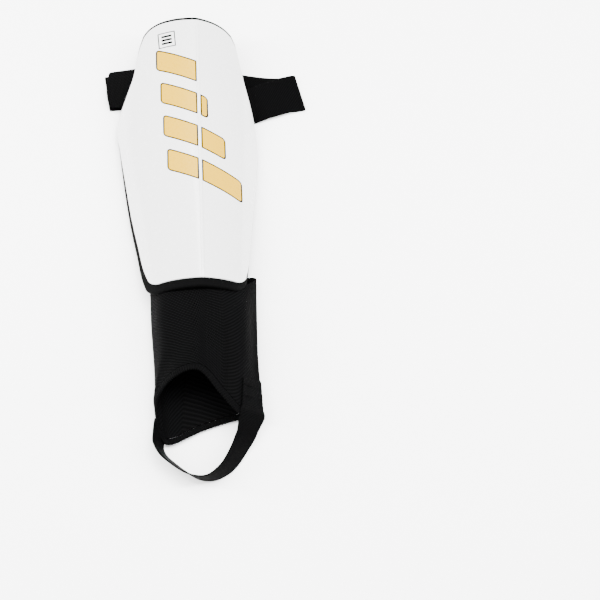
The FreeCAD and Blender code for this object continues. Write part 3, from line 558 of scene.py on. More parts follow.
liner_finish = Finish("brushed_liner", Sheen_Weight=0.002, Sheen_Roughness=0.5, Specular_IOR_Level=0.01)
along, across = liner_finish.cloth_place()
courses = (along + across * 0.35).wave(1.1) * (across - along * 0.35).wave(1.4)
nap = liner_finish.noise(650.0, 4.0)
# Colour follows the courses' relief and random nap: the lighter crowns and darker grooves of the courses
# are painted highlight and painted shade.
liner_finish.colour(courses * 0.6 + nap * 0.4, (0.00034, 0.00034, 0.00037), (0.0017, 0.0017, 0.00179))
liner_finish.roughness(nap * 0.15 + 0.8)
liner_finish.bump(courses * 0.7 + nap * 0.3, 0.18)
liner = piece("pad_liner",
              slab(pad_place, (83.0, 253.0), LINER_FRONT, LINER_BACK, (60, 130), 0.4,
                   (PAD_CORNER, PAD_CORNER, 0, 0)),
              liner_finish, ["liner"], "guard")


# ---------------------------------------------------------------- ankle sleeve and its cuff
# The sleeve is a knitted tube of nylon and elastane. Its front is sewn to the pad's back along the
# cuff, its hemmed top edge stays open behind the pad, and its lower end is cut away for the foot.
# The knit's ribs run up and away from a ladder of straight courses down the front.
KNIT = 1.2
FOLD_CLEARANCE = 2.0
SLEEVE_HALF_WIDTH, SLEEVE_LENGTH = 43.5, 100.0
EDGING_WIDTH, EDGING_THICKNESS = 5.0, 1.7
HINGE_Y = PAD_LOW - FOLD_CLEARANCE
FRONT_Z = hinge[2]
HEM_Y = 17.0
TUCK_Y = 1.5                # the tube's front runs up behind the pad to here, under its liner
CUFF_FROM, CUFF_TO, CUFF_TOP, CUFF_END_RAISE = -31.0, 39.0, 18.0, 4.0
# Rings of twelve stations: medial side, over the front to the lateral side, and the back. x is a
# share of the half width and z a height. In the top ring y is a place, below it a share of the
# sleeve's length, and a height of 0 stands for the liner's own face.
TOP_RING = ((1.01, 14.0, 8.6), (0.985, 9.0, 14.5), (0.76, TUCK_Y, 0.0), (0.37, TUCK_Y, 0.0),
            (0.01, TUCK_Y, 0.0), (-0.42, TUCK_Y, 0.0), (-0.76, TUCK_Y, 0.0), (-0.985, 4.0, 13.0),
            (-0.97, 11.0, 6.4), (-0.72, HEM_Y, 1.4), (0.0, HEM_Y, 0.7), (0.72, HEM_Y, 1.4))
UPPER_RING = ((1.0, 0.17, 10.5), (0.94, 0.17, 18.0), (0.75, 0.165, FRONT_Z - 8.2),
              (0.4, 0.16, FRONT_Z - 2.4), (-0.03, 0.16, FRONT_Z - 0.2),
              (-0.45, 0.16, FRONT_Z - 2.8), (-0.8, 0.165, FRONT_Z - 9.0), (-0.98, 0.17, 12.5),
              (-0.95, 0.18, 6.5), (-0.7, 0.18, 2.2), (0.0, 0.18, 0.7), (0.72, 0.18, 1.4))
LOWER_RING = ((0.99, 0.49, 12.0), (0.92, 0.48, 18.8), (0.72, 0.46, FRONT_Z - 7.4),
              (0.4, 0.44, FRONT_Z - 2.8), (-0.06, 0.42, FRONT_Z - 0.8),
              (-0.47, 0.44, FRONT_Z - 3.4), (-0.77, 0.47, FRONT_Z - 9.4), (-0.94, 0.5, 14.0),
              (-0.9, 0.52, 7.4), (-0.66, 0.52, 3.4), (-0.01, 0.51, 0.7), (0.68, 0.5, 1.4))
RIM_RING = ((1.06, 1.01, 9.5), (0.9, 1.02, 17.0), (0.585, 1.0, FRONT_Z - 10.2),
            (0.27, 0.86, FRONT_Z - 4.6), (-0.12, 0.67, FRONT_Z - 1.6),
            (-0.56, 0.715, FRONT_Z - 4.0), (-0.855, 0.815, 21.5), (-0.93, 0.94, 15.0),
            (-0.875, 1.10, 9.8), (-0.68, 1.185, 4.4), (-0.03, 1.065, 1.9), (0.63, 0.985, 1.9))
BACK_SEAM = 0.21            # the rings start at the medial side, and the tube at the middle of its back
TUBE_AROUND, TUBE_ALONG, RIM_AROUND = 194.0, 112.0, 250.0       # rough lengths of cloth


def ring(stations, place_y):
    share, y, z = np.array(stations, float).T
    x = SLEEVE_MIDDLE + share * SLEEVE_HALF_WIDTH
    points = np.stack([x, place_y(y), np.where(z, z, plate(x, y, SEWN_FRONT + 0.3)[..., 2])], -1)
    return smooth_curve(points, closed=True, knots=np.linspace(0, 1, len(points) + 1))


def below_pad(share):
    return HINGE_Y - share * SLEEVE_LENGTH


top_curve = ring(TOP_RING, lambda y: y)
upper_curve, lower_curve, rim_curve = (ring(r, below_pad) for r in (UPPER_RING, LOWER_RING, RIM_RING))


def rim_inset(t, inset):
    """Point of the sleeve at a distance up from its rim, square to the rim."""
    here, step = rim_curve(t), 0.004
    tangent = unit(rim_curve(t + step) - rim_curve(t - step))
    climb = lower_curve(t) - here
    square = unit(climb - tangent * (climb * tangent).sum(-1, keepdims=True))
    return here + square * np.asarray(inset, float)[..., None]


def tube_point(t, v):
    """Outer face: once round with t, and with v down a smooth curve through the rings."""
    t, v = np.broadcast_arrays(t, v)
    turn = t.ravel() - BACK_SEAM
    rings = [c(turn) for c in (top_curve, upper_curve, lower_curve)]
    rings.append(rim_inset(turn, np.full(turn.shape, EDGING_WIDTH + GLUE)))
    return smooth_curve(np.stack(rings))(v.ravel()[None])[0].reshape(t.shape + (3,))


def rim_point(t, v):
    t, v = np.broadcast_arrays(t, v)
    return rim_inset(t - BACK_SEAM, EDGING_WIDTH * (1 - v))


def on_tube(surface):
    """place(t, v, depth): depth goes in from a tube's face, square to its section."""
    def place(t, v, depth):
        turn = surface(t + 0.01, v) - surface(t - 0.01, v)
        outward = unit(np.stack([turn[..., 2], 0 * turn[..., 1], -turn[..., 0]], -1))
        return surface(t, v) - outward * np.asarray(depth, float)[..., None]
    return place


def hose(place, size, outer, inner, counts, edge):
    """Closed tube wall: the loop down the outer face, round the rim and up the inner one, turned once."""
    round_it = np.arange(1, EDGE_STEPS) / EDGE_STEPS * math.pi
    inset = edge * (1 - np.sin(round_it)) / size[1]
    depth = (outer + inner) / 2 - (inner - outer) / 2 * np.cos(round_it)
    down = edge / size[1] + soft_steps(counts[1], 0.3 / size[1]) * (1 - 2 * edge / size[1])
    loop_v = np.concatenate([down, 1 - inset, down[::-1], inset])
    loop_depth = np.concatenate([np.full(down.shape, outer), depth, np.full(down.shape, inner),
                                 depth[::-1]])
    turn, v = np.meshgrid(np.arange(counts[0]) / counts[0], loop_v, indexing="ij")
    points = place(turn, v, np.broadcast_to(loop_depth, v.shape)).reshape(-1, 3)
    order = np.pad(np.arange(v.size).reshape(v.shape), ((0, 1), (0, 1)), mode="wrap")
    flat = np.stack(np.meshgrid(np.arange(counts[0] + 1) / counts[0] * size[0],
                                np.append(loop_v, loop_v[0]) * size[1], indexing="ij"), -1)
    corners = quads(np.arange(order.size).reshape(order.shape))
    return points, quads(order), flat.reshape(-1, 2)[corners]


knit = Finish("black_rib_knit", Sheen_Weight=0.002, Sheen_Roughness=0.45, Specular_IOR_Level=0.01)
around, down = knit.cloth_place()
from_ladder = abs(around - 0.5 * TUBE_AROUND)
away = (from_ladder - 6.0).limit(0.0, 200.0)
beside = (away * 0.25).limit()
ribs = (down + away * 1.1).wave(3.2)
beads = (from_ladder - down * beside * 0.85).wave(1.9)
stitch_relief = ribs * 0.85 + beads * 0.15
fuzz = knit.noise(900.0, 3.0)
patchy = knit.noise(45.0, 3.0)
# Colour follows the stitch relief as well as random fuzz and patchy tone: the lighter rib tops and darker
# grooves are painted highlight and painted shade.
knit.colour((stitch_relief * 0.8 + fuzz * 0.35 + patchy * 0.2 - 0.2).limit(),
            (0.0002, 0.0002, 0.00022), (0.00162, 0.00162, 0.0017))
knit.roughness(fuzz * 0.2 + 0.68)
knit.bump(stitch_relief * 0.85 + fuzz * 0.15, 0.42)

sleeve_tube = on_tube(tube_point)
sleeve = piece("sleeve_knit",
               hose(sleeve_tube, (TUBE_AROUND, TUBE_ALONG), 0.0, KNIT, (300, 100), 0.5),
               knit, ["ankle_sleeve", "sleeve_top_hem"])


def cuff_face(u, v, depth):
    """The cuff's part of the pad's back, with its lower edge raised towards both ends."""
    low = TUCK_Y + 0.4 + CUFF_END_RAISE * (2 * u - 1) ** 2
    return plate(CUFF_FROM + (CUFF_TO - CUFF_FROM) * u, low + (CUFF_TOP - low) * v, depth)


cuff = piece("cuff_knit",
             slab(cuff_face, (74.0, 16.5), SEWN_FRONT, SEWN_FRONT + KNIT, (60, 20), 0.5, (2, 2, 2, 2)),
             knit, ["sleeve_cuff"], "guard")


def threads(paths, radius):
    """Round threads along paths[n, s]: a hexagon square to the path at each point, small at both ends."""
    along = unit(np.gradient(paths, axis=1))
    spread = np.abs(along).mean(axis=1)
    lean = np.eye(3)[spread.argmin(axis=1)][:, None]
    side = unit(np.cross(along, lean))
    over = np.cross(side, along)
    count, length = paths.shape[:2]
    thick = np.full(length, radius)
    thick[[0, -1]] *= 0.45
    angle = np.arange(6) * math.pi / 3
    circle = (np.cos(angle)[:, None] * side[:, :, None] + np.sin(angle)[:, None] * over[:, :, None])
    points = paths[:, :, None] + circle * thick[:, None, None]
    order = np.arange(count * length * 6).reshape(count, length, 6)
    turned = np.roll(order, -1, axis=2)
    sides = np.stack([order[:, :-1], turned[:, :-1], turned[:, 1:], order[:, 1:]], -1).reshape(-1, 4)
    first, last = order[:, 0], order[:, -1]
    caps = [first[:, [3, 2, 1, 0]], first[:, [5, 4, 3, 0]], last[:, [0, 1, 2, 3]], last[:, [0, 3, 4, 5]]]
    faces = np.concatenate([sides] + caps)
    flat = np.stack(np.broadcast_arrays(np.arange(length)[None, :, None], angle[None, None]), -1)
    uv = np.broadcast_to(flat, (count, length, 6, 2)).reshape(-1, 2)
    return points.reshape(-1, 3), faces, uv[faces]


def stitch_row(place, start, end, count, depth, rise=0.18):
    """Dashes along a line from start to end in (u, v), each one a thread that arches a little."""
    share = np.linspace(0.12, 0.88, 6)
    at = (np.arange(count)[:, None] + share) / count
    u = start[0] + (end[0] - start[0]) * at
    v = start[1] + (end[1] - start[1]) * at
    arch_up = rise * np.sin(np.pi * np.linspace(0, 1, 6))
    return place(u, v, depth + np.broadcast_to(arch_up, u.shape))


def zigzag_row(place, start, end, count, swing, depth):
    """A zigzag: dashes whose v swings to and fro, each one from one needle hole to the next."""
    share = np.linspace(0.05, 0.95, 5)
    at = np.arange(count)[:, None] + share
    sway = swing * (1 - 2 * np.abs((at / 2) % 1 * 2 - 1))
    u = start[0] + (end[0] - start[0]) * at / count
    v = start[1] + (end[1] - start[1]) * at / count + sway
    dip = 0.15 * np.sin(np.pi * share)
    return place(u, v, depth - np.broadcast_to(dip, u.shape))


thread_finish = Finish("bonded_thread", Sheen_Weight=0.002, Specular_IOR_Level=0.015)
strand, turn_round = thread_finish.cloth_place()
ply = (strand * 2.2 + turn_round).wave(2.1)
# The ply stripes in the colour are painted highlight on the plies' crowns and painted shade between them.
thread_finish.colour(ply, (0.00034, 0.00034, 0.00037), (0.00238, 0.00238, 0.00247))
thread_finish.roughness(ply * 0.2 + 0.5)

SEAM_DEPTH = SEWN_FRONT + KNIT + 0.12
piece("cuff_stitches",
      threads(np.concatenate([stitch_row(cuff_face, (0.04, v), (0.96, v), 24, SEAM_DEPTH)
                              for v in (0.85, 0.3)]), 0.22),
      thread_finish, ["sleeve_stitches"], "guard")
piece("sleeve_hem_stitches",
      threads(stitch_row(sleeve_tube, (0.0, 0.055), (1.0, 0.055), 92, -0.02, -0.15), 0.2),
      thread_finish, [])


# ---------------------------------------------------------------- rim of the ankle opening
# An elastic binding is sewn round the cut edge, and three-thread overlocking wraps it: slanted
# bights over the band, from its inner edge round the rim and back inside.
BINDING_PROUD = (EDGING_THICKNESS - KNIT) / 2
BIGHTS = 132

binding_finish = Finish("elastic_binding", Sheen_Weight=0.002, Sheen_Roughness=0.5,
                        Specular_IOR_Level=0.01)
round_rim, across_rim = binding_finish.cloth_place()
cords = round_rim.wave(1.15)
picks = across_rim.wave(0.8)
# Colour follows the relief of the cords and picks: their lighter crowns and darker grooves are painted
# highlight and painted shade.
binding_finish.colour(cords * 0.7 + picks * 0.3, (0.0002, 0.0002, 0.00022), (0.00145, 0.00145, 0.00153))
binding_finish.roughness(cords * 0.15 + 0.66)
binding_finish.bump(cords * 0.75 + picks * 0.25, 0.3)
rim_face = on_tube(rim_point)
binding = piece("rim_binding",
                hose(rim_face, (RIM_AROUND, EDGING_WIDTH), -BINDING_PROUD, KNIT + BINDING_PROUD,
                     (420, 8), 0.8),
                binding_finish, ["ankle_edging"], "ankle")


def bight_paths():
    """Each bight runs over the outer face, round the rim in a half circle, and up the inner face."""
    share = np.linspace(0, 1, 15)
    v = 1.0 - 0.86 * np.abs(1 - 2 * share) ** 1.3 + 0.06 * np.sin(np.pi * share)
    half = EDGING_THICKNESS / 2 + 0.12
    depth = KNIT / 2 - half * np.cos(np.pi * ramp((share - 0.36) / 0.28))
    start = np.arange(BIGHTS)[:, None] / BIGHTS
    t = start + 0.75 / BIGHTS * (share - 0.5)
    return rim_face(t, np.broadcast_to(v, t.shape), np.broadcast_to(depth, t.shape))


overlock = piece("rim_overlock", threads(bight_paths(), 0.24), thread_finish,
                 ["overlock_thread"], "ankle")
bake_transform(sleeve)
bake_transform(bpy.data.objects["sleeve_hem_stitches"])


# ---------------------------------------------------------------- stirrup
# The stirrup is 20 mm twill elastic. One end is sewn to the sleeve's outside at the medial side and
# the other at the lateral side, each with two zigzag rows, and the loop goes under the foot.
STIRRUP_THICKNESS = 1.2
STIRRUP_WIDTH, SEWN_GAP = 20.0, 0.35
# the loop's edge that lies on the floor, and the one that stands up, from the medial side round:
# x from the sleeve's middle, y from the pad's lower end, and the height
LOW_EDGE = ((42.1, -112.0, 10.0), (38.5, -119.0, 7.5), (32.4, -127.7, 4.5),
            (25.0, -137.8, 2.2), (17.8, -144.4, 1.2), (6.5, -149.5, 0.8), (-5.6, -148.6, 0.7),
            (-16.5, -142.0, 0.7), (-26.3, -134.0, 0.8), (-32.5, -127.5, 0.8),
            (-34.5, -120.5, 0.8), (-31.5, -114.0, 0.8))
HIGH_EDGE = ((24.5, -113.0, 20.5), (22.5, -118.5, 19.5), (19.0, -127.0, 19.5),
             (13.5, -137.0, 19.0), (8.0, -143.7, 19.2), (0.5, -149.3, 19.6), (-7.3, -150.3, 19.8),
             (-16.9, -147.4, 19.4), (-27.5, -140.3, 19.0), (-37.0, -131.5, 18.8),
             (-42.2, -121.6, 18.6), (-42.3, -113.5, 17.8))
ENDS_FROM, ENDS_TO = 0.78, 0.98         # where the sewn ends start and stop, down the sleeve
MEDIAL_END, LATERAL_END = (0.235, 0.375), (0.82, 0.96)


def thicken(surface):
    """place(u, v, depth) that goes from a surface along its normal, from differences in u and v."""
    def place(u, v, depth):
        step = 0.002
        along = surface(np.minimum(u + step, 1), v) - surface(np.maximum(u - step, 0), v)
        across = surface(u, np.minimum(v + step, 1)) - surface(u, np.maximum(v - step, 0))
        return surface(u, v) + unit(np.cross(along, across)) * np.asarray(depth, float)[..., None]
    return place


def ribbon(low, high):
    return thicken(lambda s, w: mix(low(s), high(s), w))


def twill(name, sheen):
    """Woven elastic: steep twill lines over the ribs of the rubber cords."""
    finish = Finish(name, Sheen_Weight=sheen, Sheen_Roughness=0.4, Specular_IOR_Level=0.01)
    length, width = finish.cloth_place()
    lines = (length * 0.9 - width).wave(2.5)
    crossing = (length + width * 0.9).wave(1.25)
    weave = lines * 0.8 + crossing * 0.2
    lint = finish.noise(1000.0, 3.0)
    # Colour follows the weave's relief and random lint: the lighter crowns and darker twill grooves are
    # painted highlight and painted shade.
    finish.colour((weave * 0.8 + lint * 0.4 - 0.15).limit(), (0.00017, 0.00017, 0.00019),
                  (0.00119, 0.00119, 0.00126))
    finish.roughness(lint * 0.2 + 0.6)
    finish.bump(weave * 0.85 + lint * 0.15, 0.3)
    return finish


def end_points(t, downwards):
    """Points of a sewn end's edge on the sleeve's outside, and one over the binding."""
    v = np.array([0.0, 0.5, 1.0]) * (ENDS_TO - ENDS_FROM) + ENDS_FROM
    sewn = sleeve_tube(np.full(3, t), v, np.full(3, -SEWN_GAP - STIRRUP_THICKNESS / 2))
    over_rim = rim_face(np.full(1, t), np.full(1, 0.8), -BINDING_PROUD - SEWN_GAP - STIRRUP_THICKNESS / 2)
    path = np.concatenate([sewn, over_rim])
    return path if downwards else path[::-1]


def stirrup_edge(points, medial_t, lateral_t):
    """One edge of the whole webbing: sewn end, loop, sewn end."""
    loop = np.array(points) + (SLEEVE_MIDDLE, PAD_LOW, 0.0)
    path = np.concatenate([end_points(medial_t, True), loop, end_points(lateral_t, False)])
    return smooth_curve(path, knots=np.linspace(0, 1, len(path)))


webbing = twill("black_twill_elastic", 0.002)
stirrup_face = ribbon(stirrup_edge(LOW_EDGE, MEDIAL_END[0], LATERAL_END[1]),
                      stirrup_edge(HIGH_EDGE, MEDIAL_END[1], LATERAL_END[0]))
stirrup = piece("stirrup_webbing",
                slab(stirrup_face, (250.0, STIRRUP_WIDTH), -STIRRUP_THICKNESS / 2,
                     STIRRUP_THICKNESS / 2, (260, 20), 0.5, (0.6,) * 4),
                webbing, ["stirrup_strap", "stirrup_end_medial", "stirrup_end_lateral"])
swing = next(j for j in frame["joints"] if j["name"] == "stirrup_swing")
swing_at, swing_axis = Vector(swing["pos_m"]), Vector(swing["axis"])
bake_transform(stirrup)

for side, (from_t, to_t) in (("medial", MEDIAL_END), ("lateral", LATERAL_END)):
    def sewn_face(u, v, depth, from_t=from_t, to_t=to_t):
        return sleeve_tube(from_t + (to_t - from_t) * u, ENDS_FROM + (ENDS_TO - ENDS_FROM) * v, depth)
    rows = np.concatenate([zigzag_row(sewn_face, (0.07, v), (0.93, v), 22, 0.05,
                                      -SEWN_GAP - STIRRUP_THICKNESS - 0.1) for v in (0.22, 0.62)])
    piece("stirrup_zigzag_" + side, threads(rows, 0.2), thread_finish,
          ["stirrup_stitches_" + side], "ankle")


# ---------------------------------------------------------------- calf strap
# The calf strap is one length of 33 mm elastic. It is sewn to the pad's back at the medial side,
# folds over beyond it and runs back under the guard. Its free end carries hook tape.
STRAP_THICKNESS, STRAP_TAKEOFF, STRAP_CLEARANCE, FOLD_GAP = 1.4, 28.5, 0.35, 0.4
STRAP_SEWN, STRAP_SLACK = 16.0, 0.8
STRAP_LOW = 0.672 * SHELL_LENGTH
FOLD_LOW, FOLD_HIGH = np.array([100.0, 177.5]), np.array([92.0, 212.5])
FOLD_RADIUS = (FOLD_GAP + STRAP_THICKNESS) / 2
FOLD_Z = STRAP_THICKNESS + FOLD_GAP / 2
RUN_START = FOLD_RADIUS + STRAP_THICKNESS / 2 + STRAP_CLEARANCE + 0.4
STRAP_END_LOW, STRAP_END_HIGH = np.array([-71.5, 180.0]), np.array([-76.0, 214.5])
PILE, STRAP_WIDTH = 1.0, 33.0


def edge_x(edge, y):
    """x of a side edge where it passes height y."""
    points = edge(np.linspace(0, 1, 1200))
    return np.interp(y, points[:, 1], points[:, 0])


def run_points(share):
    """The return run's edge in plan: the fold's side, a slight bow, and the free end."""
    begin = mix(FOLD_LOW, FOLD_HIGH, share) - (RUN_START, 0.2 * RUN_START)
    end = mix(STRAP_END_LOW, STRAP_END_HIGH, share)
    middle = mix(begin, end, 0.42) + (0.0, 7.0 - 1.5 * share)
    return np.array([begin, middle, end])


def strap_points(share):
    """One edge of the strap: sewn end, free stretch down to the fold, half circle, and the run."""
    y = STRAP_LOW + share * STRAP_TAKEOFF
    x = edge_x(outline()[1], y)
    depth = SEWN_FRONT + STRAP_SLACK + STRAP_THICKNESS / 2
    sewn, leaving = plate(x - STRAP_SEWN, y - 4, depth), plate(x - 1, y - 1, depth)
    past_pad = plate(x + PAD_MARGIN_MEDIAL + 0.5, y - 0.5, depth + 0.4)
    plan = mix(FOLD_LOW, FOLD_HIGH, share)

    def by_fold(inset, z):
        return np.array([plan[0] - inset, plan[1] - 0.2 * inset, z])
    landing = by_fold(10 * FOLD_RADIUS, FOLD_Z + FOLD_RADIUS + FOLD_GAP)
    turns = np.linspace(0, math.pi, 5)
    fold = [by_fold(-FOLD_RADIUS * math.sin(a), FOLD_Z + FOLD_RADIUS * math.cos(a)) for a in turns]
    run = [np.append(point, STRAP_THICKNESS / 2) for point in run_points(share)]
    free = [leaving, past_pad, (past_pad + landing) / 2, landing]
    return np.array([sewn, (sewn + leaving) / 2] + free + fold + run)


low_points, high_points = strap_points(0.0), strap_points(1.0)
strap_knots = chord_knots((low_points + high_points) / 2)
strap_face = ribbon(smooth_curve(low_points, knots=strap_knots),
                    smooth_curve(high_points, knots=strap_knots))
strap_length = np.linalg.norm(np.diff((low_points + high_points) / 2, axis=0), axis=-1).sum()
strap = piece("calf_strap_webbing",
              slab(strap_face, (strap_length, STRAP_WIDTH), -STRAP_THICKNESS / 2, STRAP_THICKNESS / 2,
                   (230, 26), 0.45, (0.8,) * 4, more=np.linspace(strap_knots[5], strap_knots[11], 40)),
              webbing, ["calf_strap_sewn_end", "calf_strap"])
fold_at = Vector(next(j for j in frame["joints"] if j["name"] == "strap_open")["pos_m"])
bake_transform(strap)

sewn_share = strap_knots[2]
under = STRAP_THICKNESS / 2 + 0.1
face_sign = 1.0 if strap_face(np.array([0.05]), np.array([0.5]), np.array([1.0]))[0, 2] \
    < strap_face(np.array([0.05]), np.array([0.5]), np.array([0.0]))[0, 2] else -1.0
box_seam = [stitch_row(strap_face, (s * sewn_share, 0.07), (s * sewn_share, 0.93), 9, face_sign * under,
                       face_sign * 0.15) for s in (0.16, 0.78)]
box_seam += [stitch_row(strap_face, (0.16 * sewn_share, w), (0.78 * sewn_share, w), 4, face_sign * under,
                        face_sign * 0.15) for w in (0.07, 0.93)]
piece("strap_box_seam", threads(np.concatenate(box_seam), 0.22), thread_finish,
      ["strap_stitches"], "guard")


# ---------------------------------------------------------------- hook tape
# Moulded nylon hook tape is sewn to the outer face of the strap's free end, with rows of hooks.
HOOK_FROM, HOOK_TO = 0.875, 0.985
run_low, run_high = smooth_curve(run_points(0.0)), smooth_curve(run_points(1.0))
HOOK_Z = STRAP_THICKNESS + GLUE


def on_run(u, w, depth):
    """Height depth over the strap's run, u along the hook tape and w across it."""
    s = HOOK_FROM + (HOOK_TO - HOOK_FROM) * u
    plan = mix(run_low(s), run_high(s), 0.07 + 0.86 * w)
    return np.concatenate([plan, np.broadcast_to(depth, plan.shape[:-1])[..., None]], -1)


nylon = Finish("hook_nylon", Specular_IOR_Level=0.05)
nylon.colour(nylon.noise(500.0), (0.00034, 0.00034, 0.00037), (0.00153, 0.00153, 0.00162))
nylon.roughness(nylon.noise(240.0) * 0.15 + 0.42)
nylon.bump(nylon.noise(1300.0, 2.0), 0.04)
tape = slab(lambda u, v, depth: on_run(u, v, depth), (18.6, 29.8), HOOK_Z, HOOK_Z + 0.4, (12, 16), 0.15,
            (1.0,) * 4)
hook_u, hook_w = np.meshgrid(np.linspace(0.06, 0.94, 12), np.linspace(0.1, 0.9, 18), indexing="ij")
bend = np.array([0.0, 0.0, 0.012, 0.035])
rise = np.array([0.3, 0.7, 0.95, 0.88])
hooks = threads(on_run(hook_u.reshape(-1, 1) + bend, np.broadcast_to(hook_w.reshape(-1, 1), (216, 4)),
                       HOOK_Z + np.broadcast_to(rise, (216, 4))), 0.14)
piece("hook_tape", join([tape, hooks]), nylon, ["hook_patch"], "calf_strap_run")
hook_rows = [stitch_row(on_run, (0.04, w), (0.96, w), 9, HOOK_Z + 0.45, 0.12) for w in (0.04, 0.96)]
piece("hook_tape_stitches", threads(np.concatenate(hook_rows), 0.2), thread_finish,
      ["hook_patch_stitches"], "calf_strap_run")


# ---------------------------------------------------------------- closure tab
# The tab is double elastic, sewn to the pad's back at the lateral side. It stands out past the
# pad, and the loop pile under it takes the strap's hooks.
TAB_THICKNESS, TAB_SEWN, TAB_FREE_X, TAB_BULGE = 2.2, 15.0, -71.5, 2.4
TAB_LOW_SHARE, TAB_HIGH_SHARE = 0.735, 0.872
THREAD = 0.25
FREE_TAB_Z = (STRAP_THICKNESS + 2 * PILE + 2 * GLUE + 2 * THREAD + STRAP_CLEARANCE
              + TAB_THICKNESS / 2 + 0.3)


def tab_points(v):
    """Stations of the tab's middle from its sewn end to its free end, for each v across it."""
    y = SHELL_LENGTH * (TAB_LOW_SHARE + (TAB_HIGH_SHARE - TAB_LOW_SHARE) * v)
    x = edge_x(pad_edges[0], y)
    sewn = [plate(x + inwards, y, SEWN_FRONT + TAB_THICKNESS / 2)
            for inwards in (1.0 + TAB_SEWN, 1.0 + TAB_SEWN / 2, 1.0)]
    start = plate(x, y, SEWN_FRONT + TAB_THICKNESS / 2)
    free = np.stack([TAB_FREE_X - TAB_BULGE * np.sin(np.pi * v), y + 3.0 + 1.5 * v,
                     np.full(v.shape, FREE_TAB_Z)], -1)
    return np.stack(sewn + [start + (free - start) * share for share in (0.12, 0.55, 1.0)])


def tab_surface(u, v):
    u, v = np.broadcast_arrays(u, v)
    return smooth_curve(tab_points(v.ravel()))(u.ravel()[None])[0].reshape(u.shape + (3,))


tab_face = thicken(tab_surface)
tab = piece("closure_tab_webbing",
            slab(tab_face, (38.0, 34.0), -TAB_THICKNESS / 2, TAB_THICKNESS / 2, (60, 30), 0.8,
                 (0.6, 1.6, 0.6, 1.6)),
            webbing, ["closure_tab_base", "closure_tab"])
flap = next(j for j in frame["joints"] if j["name"] == "tab_flap")
flap_at, flap_axis = Vector(flap["pos_m"]), Vector(flap["axis"])
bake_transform(tab)

probe = np.array([0.7]), np.array([0.5])
tab_down = 1.0 if tab_face(*probe, 1.0)[0, 2] < tab_face(*probe, 0.0)[0, 2] else -1.0
seam_depth = tab_down * (TAB_THICKNESS / 2 + 0.1)
tab_rows = [stitch_row(tab_face, (u, 0.06), (u, 0.94), 9, seam_depth, tab_down * 0.15) for u in (0.07, 0.3)]
piece("closure_tab_seam", threads(np.concatenate(tab_rows), 0.22), thread_finish,
      ["closure_tab_stitches"], "guard")

pile_finish = Finish("loop_pile", Sheen_Weight=0.002, Sheen_Roughness=0.6, Specular_IOR_Level=0.01)
tuft = pile_finish.noise(1500.0, 4.0)
pile_finish.colour(tuft, (0.00034, 0.00034, 0.00037), (0.00187, 0.00187, 0.00196))
pile_finish.roughness(tuft * 0.15 + 0.8)
pile_finish.bump(tuft, 0.35)


def pile_face(u, v, depth):
    return tab_face(0.66 + 0.29 * u, 0.08 + 0.84 * v, tab_down * (TAB_THICKNESS / 2 + GLUE + depth))


backing = slab(pile_face, (13.0, 28.0), 0.0, 0.45, (12, 20), 0.2, (1.0,) * 4)
loop_u, loop_v = np.meshgrid(np.linspace(0.05, 0.93, 14), np.linspace(0.05, 0.95, 30), indexing="ij")
bow = np.linspace(0, math.pi, 6)
loops = threads(pile_face(loop_u.reshape(-1, 1) + 0.035 * np.cos(bow), loop_v.reshape(-1, 1) + 0.004 * bow,
                          0.4 + 0.5 * np.sin(bow)), 0.09)
piece("tab_loop_pile", join([backing, loops]), pile_finish, ["loop_patch"], "tab")


# ---------------------------------------------------------------- floor, light and camera
# A plain pale floor under a broad soft box overhead, with two long strips beside the guard that
# draw the shell's lengthwise reflections.
floor_finish = Finish("pale_floor", Specular_IOR_Level=0.02)
floor_finish.colour(floor_finish.noise(3.0), (0.93, 0.93, 0.93), (0.95, 0.95, 0.95))
floor_finish.roughness(floor_finish.noise(8.0) * 0.1 + 0.85)
floor_reach = 6.0
floor_corners = [(x * floor_reach, y * floor_reach, 0.0)
                 for x, y in ((-1, -1), (1, -1), (1, 1), (-1, 1))]
floor_mesh = bpy.data.meshes.new("floor")
floor_mesh.from_pydata(floor_corners, [], [(0, 1, 2, 3)])
floor_mesh.materials.append(floor_finish.material)
floor = bpy.data.objects.new("floor", floor_mesh)
bpy.context.scene.collection.objects.link(floor)

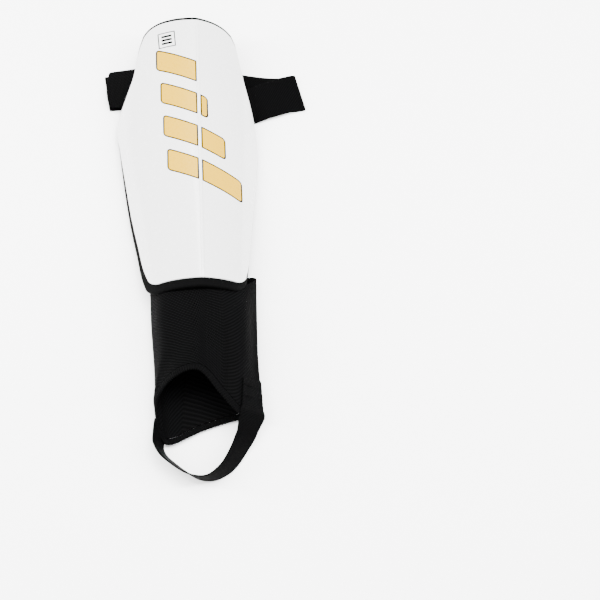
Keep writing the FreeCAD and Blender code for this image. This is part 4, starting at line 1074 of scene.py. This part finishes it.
world = bpy.data.worlds.new("studio")
world.use_nodes = True
world.node_tree.nodes["Background"].inputs["Color"].default_value = (1.0, 1.0, 1.0, 1.0)
world.node_tree.nodes["Background"].inputs["Strength"].default_value = 2.7
bpy.context.scene.world = world

middle = Vector((0.0, 0.06, 0.03))


def soft_box(name, place, size, power):
    """Rectangular soft light that faces the guard."""
    light = bpy.data.lights.new(name, "AREA")
    light.shape = "RECTANGLE"
    light.size, light.size_y = size
    light.energy = power
    lamp = bpy.data.objects.new(name, light)
    lamp.location = place
    lamp.rotation_euler = (middle - Vector(place)).to_track_quat("-Z", "Y").to_euler()
    bpy.context.scene.collection.objects.link(lamp)


soft_box("overhead_box", (0.1, 0.3, 1.7), (1.0, 1.0), 80.0)
soft_box("lateral_strip", (-0.95, 0.1, 0.75), (0.12, 1.8), 60.0)
soft_box("medial_strip", (0.85, 0.0, 0.9), (0.10, 1.8), 46.0)

# The camera looks down at the guard from its foot end. It is placed from a point of the ridge: a
# distance back along the view, then across and down, so that the guard stands left of the middle
# and high in the frame.
VIEW_AZIMUTH, VIEW_ELEVATION, VIEW_ROLL = (math.radians(a) for a in (-10.57, 67.66, 8.41))
VIEW_DISTANCE, VIEW_ACROSS, VIEW_DOWN = 1.185, 0.084, 0.1300
AIM_Y = 121.0               # the ridge's point that the view is set out from
LENS = 84.66
back = Vector((math.sin(VIEW_AZIMUTH) * math.cos(VIEW_ELEVATION),
               -math.cos(VIEW_AZIMUTH) * math.cos(VIEW_ELEVATION), math.sin(VIEW_ELEVATION)))
level = Vector((0, 0, 1)).cross(back).normalized()
upright = back.cross(level)
right = level * math.cos(VIEW_ROLL) + upright * math.sin(VIEW_ROLL)
up = back.cross(right)
ridge_point = Vector((plate(RIDGE_X, AIM_Y) + TO_FRAME) / 1000)
camera_data = bpy.data.cameras.new("camera")
camera_data.lens = LENS
camera_data.sensor_width = 36.0
camera_data.clip_start = 0.05
camera = bpy.data.objects.new("camera", camera_data)
camera.matrix_world = Matrix((right, up, back)).transposed().to_4x4()
camera.location = ridge_point + back * VIEW_DISTANCE + right * VIEW_ACROSS - up * VIEW_DOWN
bpy.context.scene.collection.objects.link(camera)
bpy.context.scene.camera = camera
